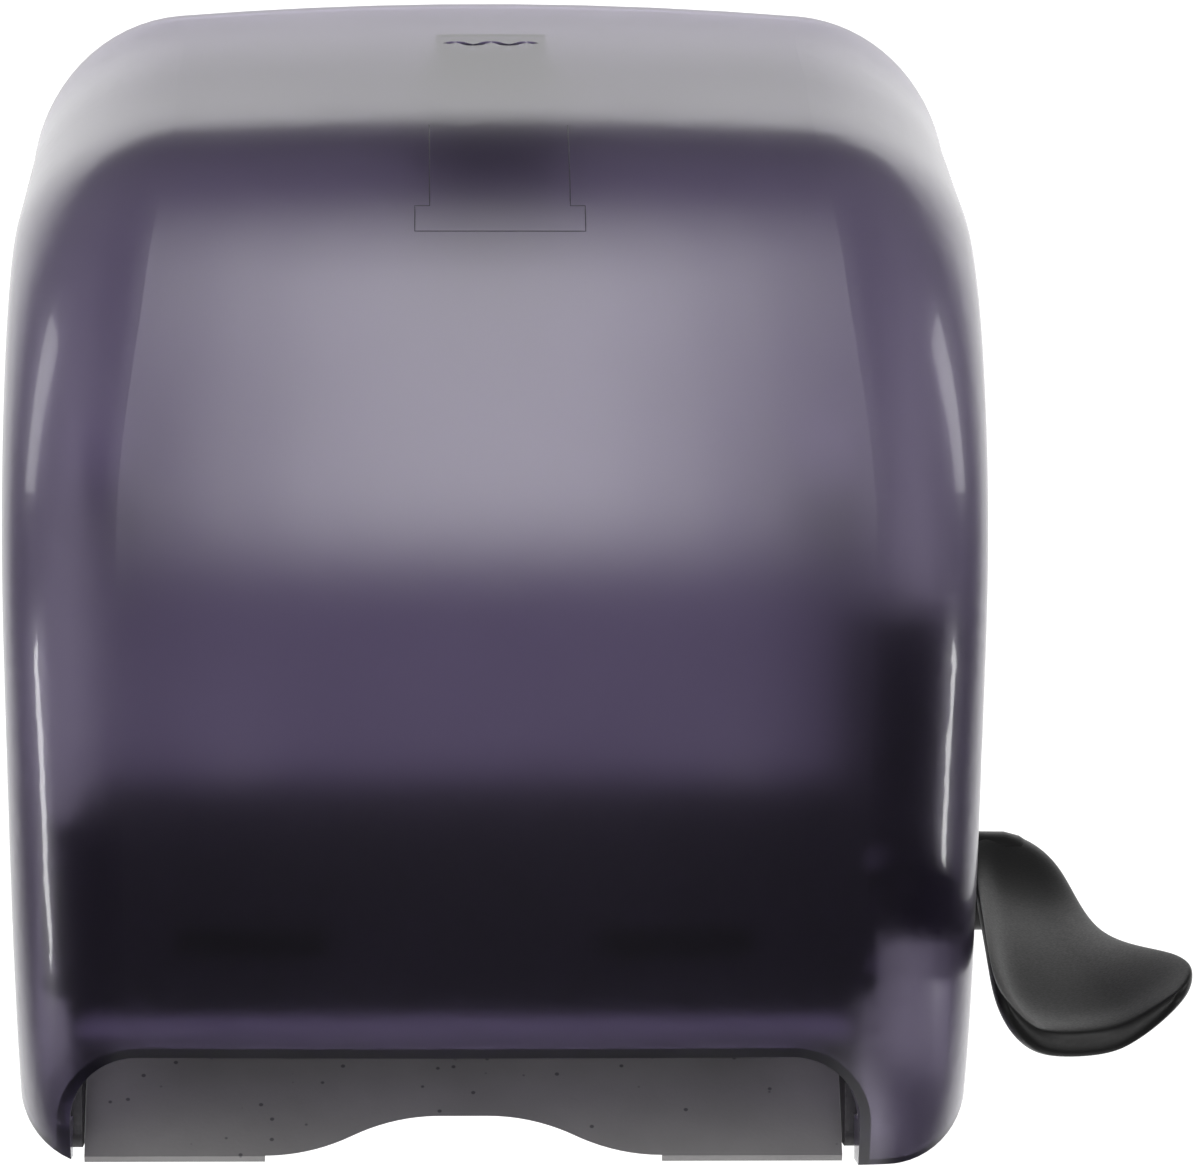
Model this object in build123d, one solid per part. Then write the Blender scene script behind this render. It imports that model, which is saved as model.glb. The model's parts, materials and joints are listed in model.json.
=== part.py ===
from build123d import *
import math
import os

# Lever roll-towel dispenser, in millimetres.
# x runs to the right of someone facing it, y towards the wall, z up.
# Side views are drawn as (depth out from the wall, height above the foot of the case).
# The exported origin is the centre of the wall screws, on the wall.

# Case
CASE_WIDTH = 274.0
CASE_HEIGHT = 338.0
CASE_DEPTH = 216.0
COVER_WALL = 2.5
TOP_SLOPE = 16.36          # fall of the cover's top away from the wall, in degrees
BELLY_RADIUS = 109.0       # arc of the cover round the roll
BELLY_TURN = 22.0          # how far the arc runs on below its furthest point, in degrees
WAIST_SETBACK = 29.0       # from the furthest point of the belly back to the waist
WAIST_SHARE = 0.4767       # height of the waist as a share of the belly's
CHIN_SETBACK = 88.0        # from the belly back to where the cover's front has curled under
CHIN_DROP = 10.0           # the curl is drawn this far below the foot, then cut level
CHIN_WAY = (-0.8, -0.6)    # direction of the front's curve at its end
FAN_BEHIND = 80.0          # the cover's sections turn about a line this far behind the wall
FAN_SHARE = 0.6218         # and at this share of the belly's height
FAN_NEAR = 20.0            # the sections start this far from that line
TOP_STOPS = 4              # sections along the top, the belly and the front
BELLY_STOPS = 7
FRONT_STOPS = 6
SIDE_BULGE = 2.5           # how much narrower the case is at its foot than at its belly
FRONT_CROWN = 8.0
TOP_CROWN = 7.5
FRONT_CORNER = 36.0
TOP_CORNER = 50.0
FOOT_CORNER = 23.0
FOOT_CUT = 2.0
WALL_GAP = 4.0             # the cover's rear edge stands this far off the wall

# Towel mouth and cover hinge
MOUTH_ROOM = 5.0           # how much wider the mouth is than the feed unit
MOUTH_HEIGHT = 34.5
MOUTH_CORNER = 20.0
LIP_WALL = 3.0
LIP_BACK = 132.0           # depth of the lip's inner edge
LEG_BACK = 114.0           # depth where the mouth's rolled sides start
LEG_CLEARANCE = 3.0        # room between the cover's legs and the feed unit's cheeks
HINGE_DEPTH = 30.0
HINGE_HEIGHT = 14.0
HINGE_PIN_RADIUS = 3.0
HINGE_BOSS_RADIUS = 8.0
HINGE_INSET = 17.0         # from the side of the case to the inner end of the cover's hinge bosses
HINGE_PIN_REACH = 6.0      # how deep the cover's bosses are bored for the pins
EAR_GAP = 0.6
EAR_THICKNESS = 6.0
EAR_REACH = 70.0           # the cover is cleared round the ears out to this depth
EAR_ROOT = 22.0

# Wall panel
PANEL_WALL = 3.0
PANEL_SIDE = 12.0          # from the side of the case to the side of the panel
PANEL_SKIN = 1.0           # the panel's own thickness behind its screws
PANEL_DROP = 24.0          # from the top of the case to the top of the panel and of the latch
PANEL_FOOT = 14.0
PANEL_CORNER = 48.0
PANEL_RIM_DEPTH = 12.0
PANEL_RIM_WALL = 2.5
PANEL_RIB_DEPTH = 7.0
PANEL_RIB_WALL = 2.0
PANEL_RIBS = 4
RIB_INSET = 30.0
RIB_FOOT = 112.0
RIB_DROP = 42.0            # from the top of the panel to the top of its ribs
MOUNT_DROP = 124.0         # from the top of the panel to the middle of the wall screws
MOUNT_SPACING_X = 150.0
MOUNT_SPACING_Z = 160.0
MOUNT_HOLE_RADIUS = 2.75
MOUNT_BOSS_RADIUS = 8.0
MOUNT_BOSS_DEPTH = 5.0

# Feed unit
FEED_CENTRE = -8.4         # the feed unit sits left of the middle, to leave room for the gears
FEED_ROOM = 56.0           # case width beside the feed unit, most of it for the gears
CHEEK = 3.5
CHEEK_CORNER = 5.0
CHEEK_TOP = 104.0
CHEEK_FOOT = 40.0          # the cheeks meet the wall panel from this height up
CHEEK_FLANGE = 7.2
CHEEK_HEM = 5.0            # the cheeks run down beside the apron to this height
CHEEK_MARGIN = 14.0
ROLLER_ROOM = 1.5          # from the drive roller to the front panel
FLANGE_WALL = 3.0
FLANGE_FOOT = 4.0          # the front flanges start this far above the front panel's foot
SCREW_INSET = 10.0         # from the ends of the flanges to their screws
DRIVE_HEIGHT = 78.0
TYRE_RADIUS = 18.0
CORE_RADIUS = 15.0
CORE_WALL = 3.0
DRIVE_SHAFT_RADIUS = 4.0
TYRE_SHARES = (0.275, 0.1835, 0.275)   # lengths of the roller bands as shares of the feed width
TYRE_GAP = 10.0
TYRE_CHAMFER = 0.8
SHAFT_CHAMFER = 0.5
SHAFT_TAIL = 2.0           # how far a shaft runs past its ring
PINCH_RADIUS = 11.0
PINCH_RISE = 20.0          # direction of the pinch roller from the drive roller, in degrees
PINCH_SHAFT_RADIUS = 3.0
PINCH_ROUND = 1.5
PAPER_GAP = 0.4
YOKE_WALL = 3.0
YOKE_PIVOT_DEPTH = 70.0
YOKE_PIVOT_HEIGHT = 70.0
YOKE_TUBE_RADIUS = 6.0
YOKE_END_GAP = 1.5
SPRING_PAD_WALL = 3.0
SPRING_HEIGHT = 92.0
PANEL_PLATE = 3.0
FRONT_PANEL_FOOT = 50.0
FRONT_PANEL_TOP = 100.0
FRONT_PANEL_EAR = 5.5
FRONT_PANEL_CORNER = 5.0
FRONT_NOTCH = 4.5          # depth of the notches in the panel's top edge
WINDOW_SHARE = 0.73        # length of the panel's windows as a share of a roller band
WINDOW_WIDTH = 8.0
WINDOW_HEIGHT = 16.0       # of the windows above the panel's foot
TEAR_LIP_DEPTH = 125.0
TEAR_LIP_DROP = 6.0
TEAR_BAR_WALL = 0.8
TEAR_BAR_HEIGHT = 13.0
TEAR_SCREW_DROP = 2.0      # of the tear bar's screws below the front panel's foot
TEAR_SCREW_SPREAD = 0.42
TEAR_SCREW_HEAD_RADIUS = 2.6
TEAR_SCREW_HEAD = 1.0
TOOTH_PITCH = 3.5
TOOTH_DEPTH = 2.5
APRON_WALL = 2.5
APRON_SHELF_HEIGHT = 70.0
APRON_SHELF_DEPTH = 34.0
APRON_FOOT_DEPTH = 100.0
APRON_FOOT = 1.0
APRON_BEND = 18.0
SCALLOP_WIDTH = 114.0
SCALLOP_FLAT = 14.0
SCALLOP_HEIGHT = 10.5
TIE_DEPTH = 58.5
TIE_WALL = 3.0
TIE_FOOT = 80.0
TIE_TOP = 102.0
TIE_LIP_ROOT = 2.0
TIE_LIP_REACH = 7.5
TIE_LIP_RISE = 6.0

# Lever and gears
MODULE = 1.5
PINION_TEETH = 12
SECTOR_TEETH = 84          # teeth of the whole circle that the sector is cut from
SPARE_TEETH = 2            # of the sector beyond each end of the stroke
PRESSURE_ANGLE = 25.0
DEDENDUM = 1.25            # depth of the teeth below the pitch circle, in modules
TOOTH_HEEL = 0.3           # how far a tooth is sunk in the gear's body, in modules
SECTOR_WINDOW = (0.34, 0.4)    # size of the sector's window as shares of its radius
SECTOR_WINDOW_REACH = 0.62
SECTOR_WINDOW_CORNER = 4.0
BACKLASH = 0.2
GEAR_WIDTH = 6.0
GEAR_OFFSET = 5.5          # from the right cheek to the gears
LEVER_DEPTH = 48.0
LEVER_STROKE = 40.0
LEVER_SHAFT_RADIUS = 6.0
LEVER_GAP = 3.5            # between the widest part of the cover and the lever
LEVER_HUB_RADIUS = 15.5
LEVER_HUB_WIDTH = 23.0
LEVER_HUB_ROUND = 10.0
LEVER_TOE = 3.0            # how far the blade's inner side leans in by its nose, short of the cover
LEVER_SHAFT_END = 8.4      # how far the shaft enters the lever's hub
LEVER_SCREW_RADIUS = 2.0
LEVER_SCREW_HEAD_RADIUS = 5.5
LEVER_SCREW_HEAD = 3.0
LEVER_SCREW_ROUND = 0.8
LEVER_SCREW_SEAT = 3.0     # web of the hub between the shaft's end and the screw's head
LEVER_SCREW_LENGTH = 10.0
LEVER_SCREW_SHORT = 1.0    # room between the screw's end and the end of its hole
CLUTCH_WALL = 2.4
PINION_HUB_WALL = 2.8
GUARD_WIDTH = 26.5
GUARD_WALL = 2.5
GUARD_FOOT = 66.0
GUARD_TOP = 160.0
GUARD_BACK = 30.0
GUARD_FRONT = 133.5
GUARD_CORNER = 22.0
GUARD_ROUND = 2.0
POST_RADIUS = 4.0
POST_INSET = 6.0
POST_HEIGHT = 99.0
BUSH_WALL = 3.0
BUSH_FLANGE = 2.0
BUSH_FLANGE_WALL = 1.5
NOTCH_CLEARANCE = 2.3

# Roll arms
ROLL_LIFT = 7.0            # height of the roll's axis above the middle of the belly's arc
ARM_ROOM = 6.0             # the arms' inner faces are this much closer together than the feed unit's
ARM_WALL = 5.0
ARM_ROOT_WALL = 4.0
ARM_SCREW_INSET = 4.0
ARM_TIP_RADIUS = 13.0
ARM_ROOT_HEIGHT = 40.0
ARM_BASE_WIDTH = 17.0
ARM_PIN_RADIUS = 2.5
ARM_KNUCKLE_RADIUS = 5.0
ARM_KNUCKLE_DEPTH = 12.0
ARM_LUG = 6.0
HUB_PIN_RADIUS = 5.0
HUB_FLANGE_RADIUS = 20.0
HUB_RADIUS = 18.0
HUB_NOSE_RADIUS = 15.0
HUB_LENGTH = 11.0
HUB_WALL = 3.0
HUB_WEB = 1.0
HUB_PIN_TAIL = 1.0
HUB_FLANGE_WALL = 2.0

# Latch
KEY_DEPTH = 50.0
KEY_SLOT_WIDTH = 2.2
KEY_WAVE = 5.2
KEY_WAVES = 5
KEY_SWING = 0.3            # height of a wave as a share of its length
LATCH_WIDTH = 40.0
LATCH_HEIGHT = 8.0
LATCH_BACK = 12.0
LATCH_FRONT = 58.0
TOOTH_FRONT = 44.0
TOOTH_WALL = 4.0
TOOTH_RISE = 9.0
TOOTH_BEVEL = 2.4
LATCH_TRAVEL = 7.0
HOOK_WALL = 3.4
HOOK_WIDTH = 32.0
HOOK_GAP = 0.6
HOOK_CLEARANCE = 3.5
GUIDE_WALL = 2.5
GUIDE_DROP = 19.0
GUIDE_FLOOR_DEPTH = 42.0

# Fits
RUNNING_FIT = 0.05
FIXED_FIT = 0.02
SIDE_FIT = 0.2
CLIP_WALL = 1.2
CLIP_GROOVE = 0.8
CLIP_REACH = 2.5
SCREW_RADIUS = 1.5
SCREW_HEAD_RADIUS = 3.2
SCREW_HEAD = 2.0
SCREW_HEAD_ROUND = 0.9

# Springs
LEVER_SPRING_RADIUS = 9.5
LEVER_SPRING_WIRE = 0.8
LEVER_SPRING_PITCH = 2.2
LEVER_SPRING_TURNS = 3.0
LEVER_SPRING_LEG = 12.0
PINCH_SPRING_RADIUS = 3.6
PINCH_SPRING_WIRE = 0.45
PINCH_SPRING_TURNS = 6.0
LATCH_SPRING_RADIUS = 5.0
LATCH_SPRING_WIRE = 0.45
LATCH_SPRING_TURNS = 4.0

# Places worked out from the driving dimensions
SLOPE = math.radians(TOP_SLOPE)
BELLY_DEPTH = CASE_DEPTH - BELLY_RADIUS
BELLY_HEIGHT = CASE_HEIGHT - BELLY_DEPTH * math.tan(SLOPE) - BELLY_RADIUS / math.cos(SLOPE)
WAIST_DEPTH = CASE_DEPTH - WAIST_SETBACK
WAIST_HEIGHT = WAIST_SHARE * BELLY_HEIGHT
CHIN_DEPTH = CASE_DEPTH - CHIN_SETBACK
FAN_AXIS = Vector(-FAN_BEHIND, FAN_SHARE * BELLY_HEIGHT)
FEED_WIDTH = CASE_WIDTH - FEED_ROOM
MOUTH_WIDTH = FEED_WIDTH + MOUTH_ROOM
ARM_SPAN = FEED_WIDTH - ARM_ROOM
HINGE_BOSS_INNER = CASE_WIDTH / 2 - HINGE_INSET
PANEL_HALF = CASE_WIDTH / 2 - PANEL_SIDE
LEFT_IN = FEED_CENTRE - FEED_WIDTH / 2
RIGHT_IN = FEED_CENTRE + FEED_WIDTH / 2
LEFT_OUT = LEFT_IN - CHEEK
RIGHT_OUT = RIGHT_IN + CHEEK
ARM_LEFT = FEED_CENTRE - ARM_SPAN / 2
ARM_RIGHT = FEED_CENTRE + ARM_SPAN / 2
PITCH_SECTOR = MODULE * SECTOR_TEETH / 2
PITCH_PINION = MODULE * PINION_TEETH / 2
LEVER_HEIGHT = DRIVE_HEIGHT
DRIVE_DEPTH = LEVER_DEPTH + PITCH_SECTOR + PITCH_PINION
CHEEK_FRONT = DRIVE_DEPTH + TYRE_RADIUS + ROLLER_ROOM
GEAR_X = RIGHT_OUT + GEAR_OFFSET
GUARD_X = RIGHT_OUT + GUARD_WIDTH
LEVER_X = CASE_WIDTH / 2 + LEVER_GAP
PINCH_REACH = TYRE_RADIUS + PINCH_RADIUS + PAPER_GAP
PINCH_DEPTH = DRIVE_DEPTH - PINCH_REACH * math.cos(math.radians(PINCH_RISE))
PINCH_HEIGHT = DRIVE_HEIGHT + PINCH_REACH * math.sin(math.radians(PINCH_RISE))
FRONT_PANEL_DEPTH = CHEEK_FRONT + PANEL_PLATE
PANEL_TOP = CASE_HEIGHT - PANEL_DROP
LATCH_TOP = PANEL_TOP
MOUNT_HEIGHT = PANEL_TOP - MOUNT_DROP
ROLL_DEPTH = BELLY_DEPTH
ROLL_HEIGHT = BELLY_HEIGHT + ROLL_LIFT
BIG = 4 * max(CASE_WIDTH, CASE_HEIGHT, CASE_DEPTH)


def at(depth, height):
    """Side-view point."""
    return (-depth, height)


HINGE = at(HINGE_DEPTH, HINGE_HEIGHT)
LEVER_AXIS = at(LEVER_DEPTH, LEVER_HEIGHT)
DRIVE_AXIS = at(DRIVE_DEPTH, DRIVE_HEIGHT)
PINCH_AXIS = at(PINCH_DEPTH, PINCH_HEIGHT)
YOKE_AXIS = at(YOKE_PIVOT_DEPTH, YOKE_PIVOT_HEIGHT)
ROLL_AXIS = at(ROLL_DEPTH, ROLL_HEIGHT)


# Helpers for solids drawn in a side view, a front view or a plan

def along_x(sketch, x_from, x_to):
    """Side-view sketch made solid between two x stations."""
    return extrude(Plane.YZ.offset(x_from) * sketch, amount=x_to - x_from)


def along_y(sketch, depth_from, depth_to):
    """Front-view sketch made solid from one depth to a greater one."""
    return extrude(Plane.XZ.offset(depth_from) * sketch, amount=depth_to - depth_from)


def along_z(sketch, height_from, height_to):
    """Plan-view sketch made solid between two heights."""
    return extrude(Plane.XY.offset(height_from) * sketch, amount=height_to - height_from)


def block(x_range, depth_range, height_range):
    """Box given by its x, depth and height ranges."""
    (x0, x1), (d0, d1), (h0, h1) = x_range, depth_range, height_range
    centre = Pos((x0 + x1) / 2, -(d0 + d1) / 2, (h0 + h1) / 2)
    return centre * Box(x1 - x0, d1 - d0, h1 - h0)


def rod(axis, radius, x_from, x_to):
    """Cylinder along x through a side-view point."""
    return along_x(Pos(*axis) * Circle(radius), x_from, x_to)


def tube(axis, outer, inner, x_from, x_to):
    """Tube along x through a side-view point."""
    return along_x(Pos(*axis) * (Circle(outer) - Circle(inner)), x_from, x_to)


def screw_y(x, height, depth_head, length):
    """Pan-head screw driven towards the wall, with its head's underside at the given depth."""
    head = along_y(Pos(x, height) * Circle(SCREW_HEAD_RADIUS), depth_head, depth_head + SCREW_HEAD)
    head = fillet(head.faces().sort_by(Axis.Y)[0].edges(), SCREW_HEAD_ROUND)
    shank = along_y(Pos(x, height) * Circle(SCREW_RADIUS), depth_head - length, depth_head)
    return head + shank


def holes_y(places, depth_from, depth_to, radius=SCREW_RADIUS + FIXED_FIT):
    """Holes along y at front-view places."""
    return [along_y(Pos(*place) * Circle(radius), depth_from, depth_to) for place in places]


# Cover

def cover_profile():
    """Side view of the cover: sloped top, belly arc round the roll, waist and chin."""
    start = 90 - TOP_SLOPE
    belly = CenterArc((BELLY_DEPTH, BELLY_HEIGHT), BELLY_RADIUS, start, -(start + BELLY_TURN))
    behind_wall = Vector(-math.cos(SLOPE), math.sin(SLOPE)) * (2 * WALL_GAP)
    top = Line(Vector(0, CASE_HEIGHT) + behind_wall, belly @ 0)
    front = Spline(
        belly @ 1, (WAIST_DEPTH, WAIST_HEIGHT), (CHIN_DEPTH, -CHIN_DROP),
        tangents=(belly % 1, CHIN_WAY),
    )
    return top, belly, front


def profile_points(inset):
    """Points of the profile moved inward by inset, each with its outward direction."""
    top, belly, front = cover_profile()
    stops = [(top, step / TOP_STOPS) for step in range(TOP_STOPS + 1)]
    stops += [(belly, step / BELLY_STOPS) for step in range(1, BELLY_STOPS + 1)]
    stops += [(front, step / FRONT_STOPS) for step in range(1, FRONT_STOPS + 1)]
    places = []
    for edge, share in stops:
        along = edge % share
        outward = Vector(-along.Y, along.X)
        places.append((edge @ share - outward * inset, outward))
    return places


def half_width(height):
    """Half the case's width at a height."""
    return CASE_WIDTH / 2 - SIDE_BULGE * ((height - BELLY_HEIGHT) / BELLY_HEIGHT) ** 2


def hood_section(point, outward, inset):
    """One section of the hood, from the fan axis out through a point of its profile."""
    ray = point - FAN_AXIS
    reach = ray.length
    ray = ray.normalized()
    rise = max(0.0, outward.Y)
    crown = FRONT_CROWN + (TOP_CROWN - FRONT_CROWN) * rise
    corner = FRONT_CORNER + (TOP_CORNER - FRONT_CORNER) * rise - inset
    near = half_width((FAN_AXIS + ray * FAN_NEAR).Y) - inset
    far = half_width(point.Y) - inset
    side = reach - crown
    outline = [
        Line((-near, FAN_NEAR), (-far, side)),
        ThreePointArc((-far, side), (0, reach), (far, side)),
        Line((far, side), (near, FAN_NEAR)),
        Line((near, FAN_NEAR), (-near, FAN_NEAR)),
    ]
    face = make_face(outline)
    face = fillet(face.vertices().sort_by(Axis.Y)[-2:], corner)
    plane = Plane(
        origin=(0, -FAN_AXIS.X, FAN_AXIS.Y), x_dir=(1, 0, 0), z_dir=(0, -ray.Y, -ray.X)
    )
    return plane * face


def hood(inset):
    """Solid inside the cover's outer face, or inside its inner face when inset by the wall."""
    places = profile_points(inset)
    sections = [hood_section(point, outward, inset) for point, outward in places]
    last_point, last_outward = places[-1]
    under = Vector(-WALL_GAP, last_point.Y - CHIN_DROP)
    heel = hood_section(under, last_outward, inset)
    body = loft(sections) + loft([sections[-1], heel], ruled=True)
    foot = FOOT_CUT + inset
    body = body & block((-BIG, BIG), (WALL_GAP - 2 * inset, BIG), (foot, BIG))
    for side in (-1, 1):
        body -= along_y(foot_corner(foot, FOOT_CORNER - inset, inset, side), -BIG, BIG)
    return body


def foot_corner(foot, radius, inset, side):
    """Front view of what the rounding takes off a lower corner of the hood."""
    centre = side * (half_width(foot + radius) - inset - radius)
    outside = Pos(centre + side * CASE_WIDTH / 2, foot + radius - CASE_HEIGHT / 2)
    return outside * Rectangle(CASE_WIDTH, CASE_HEIGHT) - Pos(centre, foot + radius) * Circle(radius)


def mouth_sketch(grow):
    """Front view of the towel mouth, open below the foot."""
    half = MOUTH_WIDTH / 2 + grow
    top = MOUTH_HEIGHT + grow
    shape = Pos(FEED_CENTRE, (top - CASE_HEIGHT) / 2) * Rectangle(2 * half, top + CASE_HEIGHT)
    return fillet(shape.vertices().sort_by(Axis.Y)[-2:], MOUTH_CORNER + grow)


def lever_notch():
    """Side-view slot that lets the lever's shaft out at the rear as the cover swings open."""
    turn = math.hypot(LEVER_DEPTH - HINGE_DEPTH, LEVER_HEIGHT - HINGE_HEIGHT)
    leave = HINGE_DEPTH - WALL_GAP + LEVER_SHAFT_RADIUS
    room = LEVER_SHAFT_RADIUS + NOTCH_CLEARANCE
    top = HINGE_HEIGHT + turn + room
    foot = HINGE_HEIGHT + math.sqrt(turn ** 2 - leave ** 2) - room
    half = (top - foot) / 2
    end = Pos(*at(LEVER_DEPTH, (top + foot) / 2)) * Circle(half)
    run = Pos(*at(LEVER_DEPTH / 2, (top + foot) / 2)) * Rectangle(LEVER_DEPTH, 2 * half)
    return end + run


def key_slot():
    """Wavy key slot, in plan."""
    start = -KEY_WAVES * KEY_WAVE / 2
    waves = []
    for step in range(KEY_WAVES):
        left = start + step * KEY_WAVE
        swing = KEY_WAVE * KEY_SWING * (-1) ** step
        waves.append(ThreePointArc(
            (left, -KEY_DEPTH), (left + KEY_WAVE / 2, -KEY_DEPTH + swing), (left + KEY_WAVE, -KEY_DEPTH)
        ))
    return trace(waves, KEY_SLOT_WIDTH)


def make_cover():
    outer = hood(0)
    shell = outer - hood(COVER_WALL)
    sides = mouth_sketch(LIP_WALL) & Pos(0, MOUTH_HEIGHT - MOUTH_CORNER - BIG / 2) * Rectangle(BIG, BIG)
    lip = along_y(mouth_sketch(LIP_WALL), LIP_BACK, BIG) + along_y(sides, LEG_BACK, LIP_BACK)
    mouth = along_y(mouth_sketch(0), LEG_BACK, BIG)
    shell = shell + (lip & outer) - mouth
    left_leg = LEFT_OUT - LEG_CLEARANCE
    right_leg = RIGHT_OUT + LEG_CLEARANCE
    shell -= block((left_leg, right_leg), (0, LEG_BACK), (0, MOUTH_HEIGHT + LIP_WALL))
    shell -= block((-HINGE_BOSS_INNER, HINGE_BOSS_INNER), (0, EAR_REACH), (0, MOUTH_HEIGHT))
    for side in (-1, 1):
        boss = rod(HINGE, HINGE_BOSS_RADIUS, side * HINGE_BOSS_INNER, side * CASE_WIDTH / 2) & outer
        bore_end = side * (HINGE_BOSS_INNER + HINGE_PIN_REACH)
        shell += boss
        shell -= rod(HINGE, HINGE_PIN_RADIUS + RUNNING_FIT, side * HINGE_BOSS_INNER, bore_end)
    hook_front = TOOTH_FRONT - TOOTH_WALL - HOOK_GAP
    hook_foot = LATCH_TOP + HOOK_CLEARANCE
    hook = block((-HOOK_WIDTH / 2, HOOK_WIDTH / 2), (hook_front - HOOK_WALL, hook_front), (hook_foot, BIG))
    shell += hook & outer
    shell -= along_x(lever_notch(), GUARD_X, CASE_WIDTH)
    shell -= along_z(key_slot(), LATCH_TOP + HOOK_CLEARANCE, CASE_HEIGHT)
    return shell


# Wall panel

def ear_outline():
    """Hinge ear in side view, from the wall panel out round the pin."""
    nose = Pos(*HINGE) * Circle(HINGE_BOSS_RADIUS)
    root = Pos(*at(PANEL_WALL / 2, PANEL_FOOT + EAR_ROOT / 2)) * Rectangle(PANEL_WALL, EAR_ROOT)
    return make_hull(nose.edges() + root.edges())


def ear_inner():
    """Distance of the ears' inner faces from the middle."""
    return HINGE_BOSS_INNER - EAR_GAP - EAR_THICKNESS


def mount_places():
    """Front-view places of the four wall screws."""
    return [
        (x * MOUNT_SPACING_X / 2, MOUNT_HEIGHT + z * MOUNT_SPACING_Z / 2)
        for x in (-1, 1) for z in (-1, 1)
    ]


def make_back_panel():
    step = PANEL_FOOT + EAR_ROOT
    outline = Pos(0, (PANEL_TOP + step) / 2) * Rectangle(2 * PANEL_HALF, PANEL_TOP - step)
    outline = fillet(outline.vertices().sort_by(Axis.Y)[-2:], PANEL_CORNER)
    upper = outline & Pos(0, CHEEK_TOP + BIG / 2) * Rectangle(BIG, BIG)
    outline += Pos(0, PANEL_FOOT + EAR_ROOT / 2) * Rectangle(2 * (ear_inner() + EAR_THICKNESS), EAR_ROOT)
    rim = upper - offset(upper, -PANEL_RIM_WALL)
    panel = along_y(outline, 0, PANEL_WALL) + along_y(rim, 0, PANEL_RIM_DEPTH)
    rib_height = PANEL_TOP - RIB_DROP - RIB_FOOT
    first_rib = RIB_INSET - PANEL_HALF
    for step in range(PANEL_RIBS):
        x = first_rib - 2 * step * first_rib / (PANEL_RIBS - 1)
        rib = Pos(x, RIB_FOOT + rib_height / 2) * Rectangle(PANEL_RIB_WALL, rib_height)
        panel += along_y(rib, 0, PANEL_RIB_DEPTH)
    for place in mount_places():
        panel += along_y(Pos(*place) * Circle(MOUNT_BOSS_RADIUS), 0, MOUNT_BOSS_DEPTH)
    panel -= holes_y(mount_places(), 0, MOUNT_BOSS_DEPTH, MOUNT_HOLE_RADIUS)
    guide = guide_half() + SIDE_FIT
    panel -= block((-guide, guide), (PANEL_WALL, PANEL_RIM_DEPTH), (PANEL_TOP - PANEL_CORNER, BIG))
    for side in (-1, 1):
        inner = side * ear_inner()
        panel += along_x(ear_outline(), inner, inner + side * EAR_THICKNESS)
        panel -= rod(HINGE, HINGE_PIN_RADIUS + FIXED_FIT, inner, inner + side * EAR_THICKNESS)
    return panel - holes_y(chassis_screw_places() + arm_screw_places(), PANEL_SKIN, PANEL_WALL)


def make_hinge_pins():
    pins = []
    for side in (-1, 1):
        inner = side * ear_inner()
        reach = side * (HINGE_BOSS_INNER + HINGE_PIN_REACH - EAR_GAP)
        pins.append(rod(HINGE, HINGE_PIN_RADIUS, inner, reach))
    return pins


# Feed unit frame

def cheek_outline():
    """Side view of a cheek."""
    corners = [
        at(PANEL_WALL, CHEEK_FOOT), at(PANEL_WALL, CHEEK_TOP), at(DRIVE_DEPTH - TYRE_RADIUS, CHEEK_TOP),
        at(CHEEK_FRONT, FRONT_PANEL_TOP), at(CHEEK_FRONT, FRONT_PANEL_FOOT),
        at(LEG_BACK - LEG_CLEARANCE, MOUTH_HEIGHT), at(LEG_BACK - LEG_CLEARANCE, CHEEK_HEM),
        at(APRON_FOOT_DEPTH - CHEEK_MARGIN, CHEEK_HEM), at(APRON_SHELF_DEPTH, CHEEK_FOOT),
    ]
    face = make_face(Polyline(*corners, close=True))
    rounded = face.vertices().sort_by(Axis.X)[:7]
    return fillet(rounded, CHEEK_CORNER)


def flange(x_out, x_edge, depth_from, heights):
    """Flat flange on the outside of a cheek."""
    x_range = (min(x_out, x_edge), max(x_out, x_edge))
    return block(x_range, (depth_from, depth_from + FLANGE_WALL), heights)


def chassis_screw_places():
    """Front-view places of the screws that hold the cheeks to the wall panel."""
    middle = SCREW_HEAD_RADIUS + SIDE_FIT
    columns = (LEFT_OUT - middle, RIGHT_OUT + middle)
    return [(x, z) for x in columns for z in (CHEEK_FOOT + SCREW_INSET, CHEEK_TOP - SCREW_INSET)]


def panel_screw_places():
    """Front-view places of the screws that hold the front panel to the cheeks."""
    middle = FRONT_PANEL_EAR / 2
    columns = (LEFT_OUT - middle, RIGHT_OUT + middle)
    heights = (FRONT_PANEL_FOOT + SCREW_INSET, FRONT_PANEL_TOP - SCREW_INSET)
    return [(x, z) for x in columns for z in heights]


def make_cheek(x_in, x_out):
    side = 1 if x_out > x_in else -1
    cheek = along_x(cheek_outline(), x_in, x_out)
    back_edge = x_out + side * CHEEK_FLANGE
    cheek += flange(x_out, back_edge, PANEL_WALL, (CHEEK_FOOT, CHEEK_TOP))
    front_edge = x_out + side * FRONT_PANEL_EAR
    heights = (FRONT_PANEL_FOOT + FLANGE_FOOT, FRONT_PANEL_TOP)
    cheek += flange(x_out, front_edge, CHEEK_FRONT - FLANGE_WALL, heights)
    cheek -= rod(DRIVE_AXIS, DRIVE_SHAFT_RADIUS + BUSH_WALL + FIXED_FIT, x_in, x_out)
    cheek -= rod(YOKE_AXIS, PINCH_SHAFT_RADIUS + FIXED_FIT, x_in, x_out)
    cheek -= holes_y(chassis_screw_places(), PANEL_WALL, PANEL_WALL + FLANGE_WALL)
    cheek -= holes_y(panel_screw_places(), CHEEK_FRONT - FLANGE_WALL, CHEEK_FRONT)
    return cheek


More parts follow.
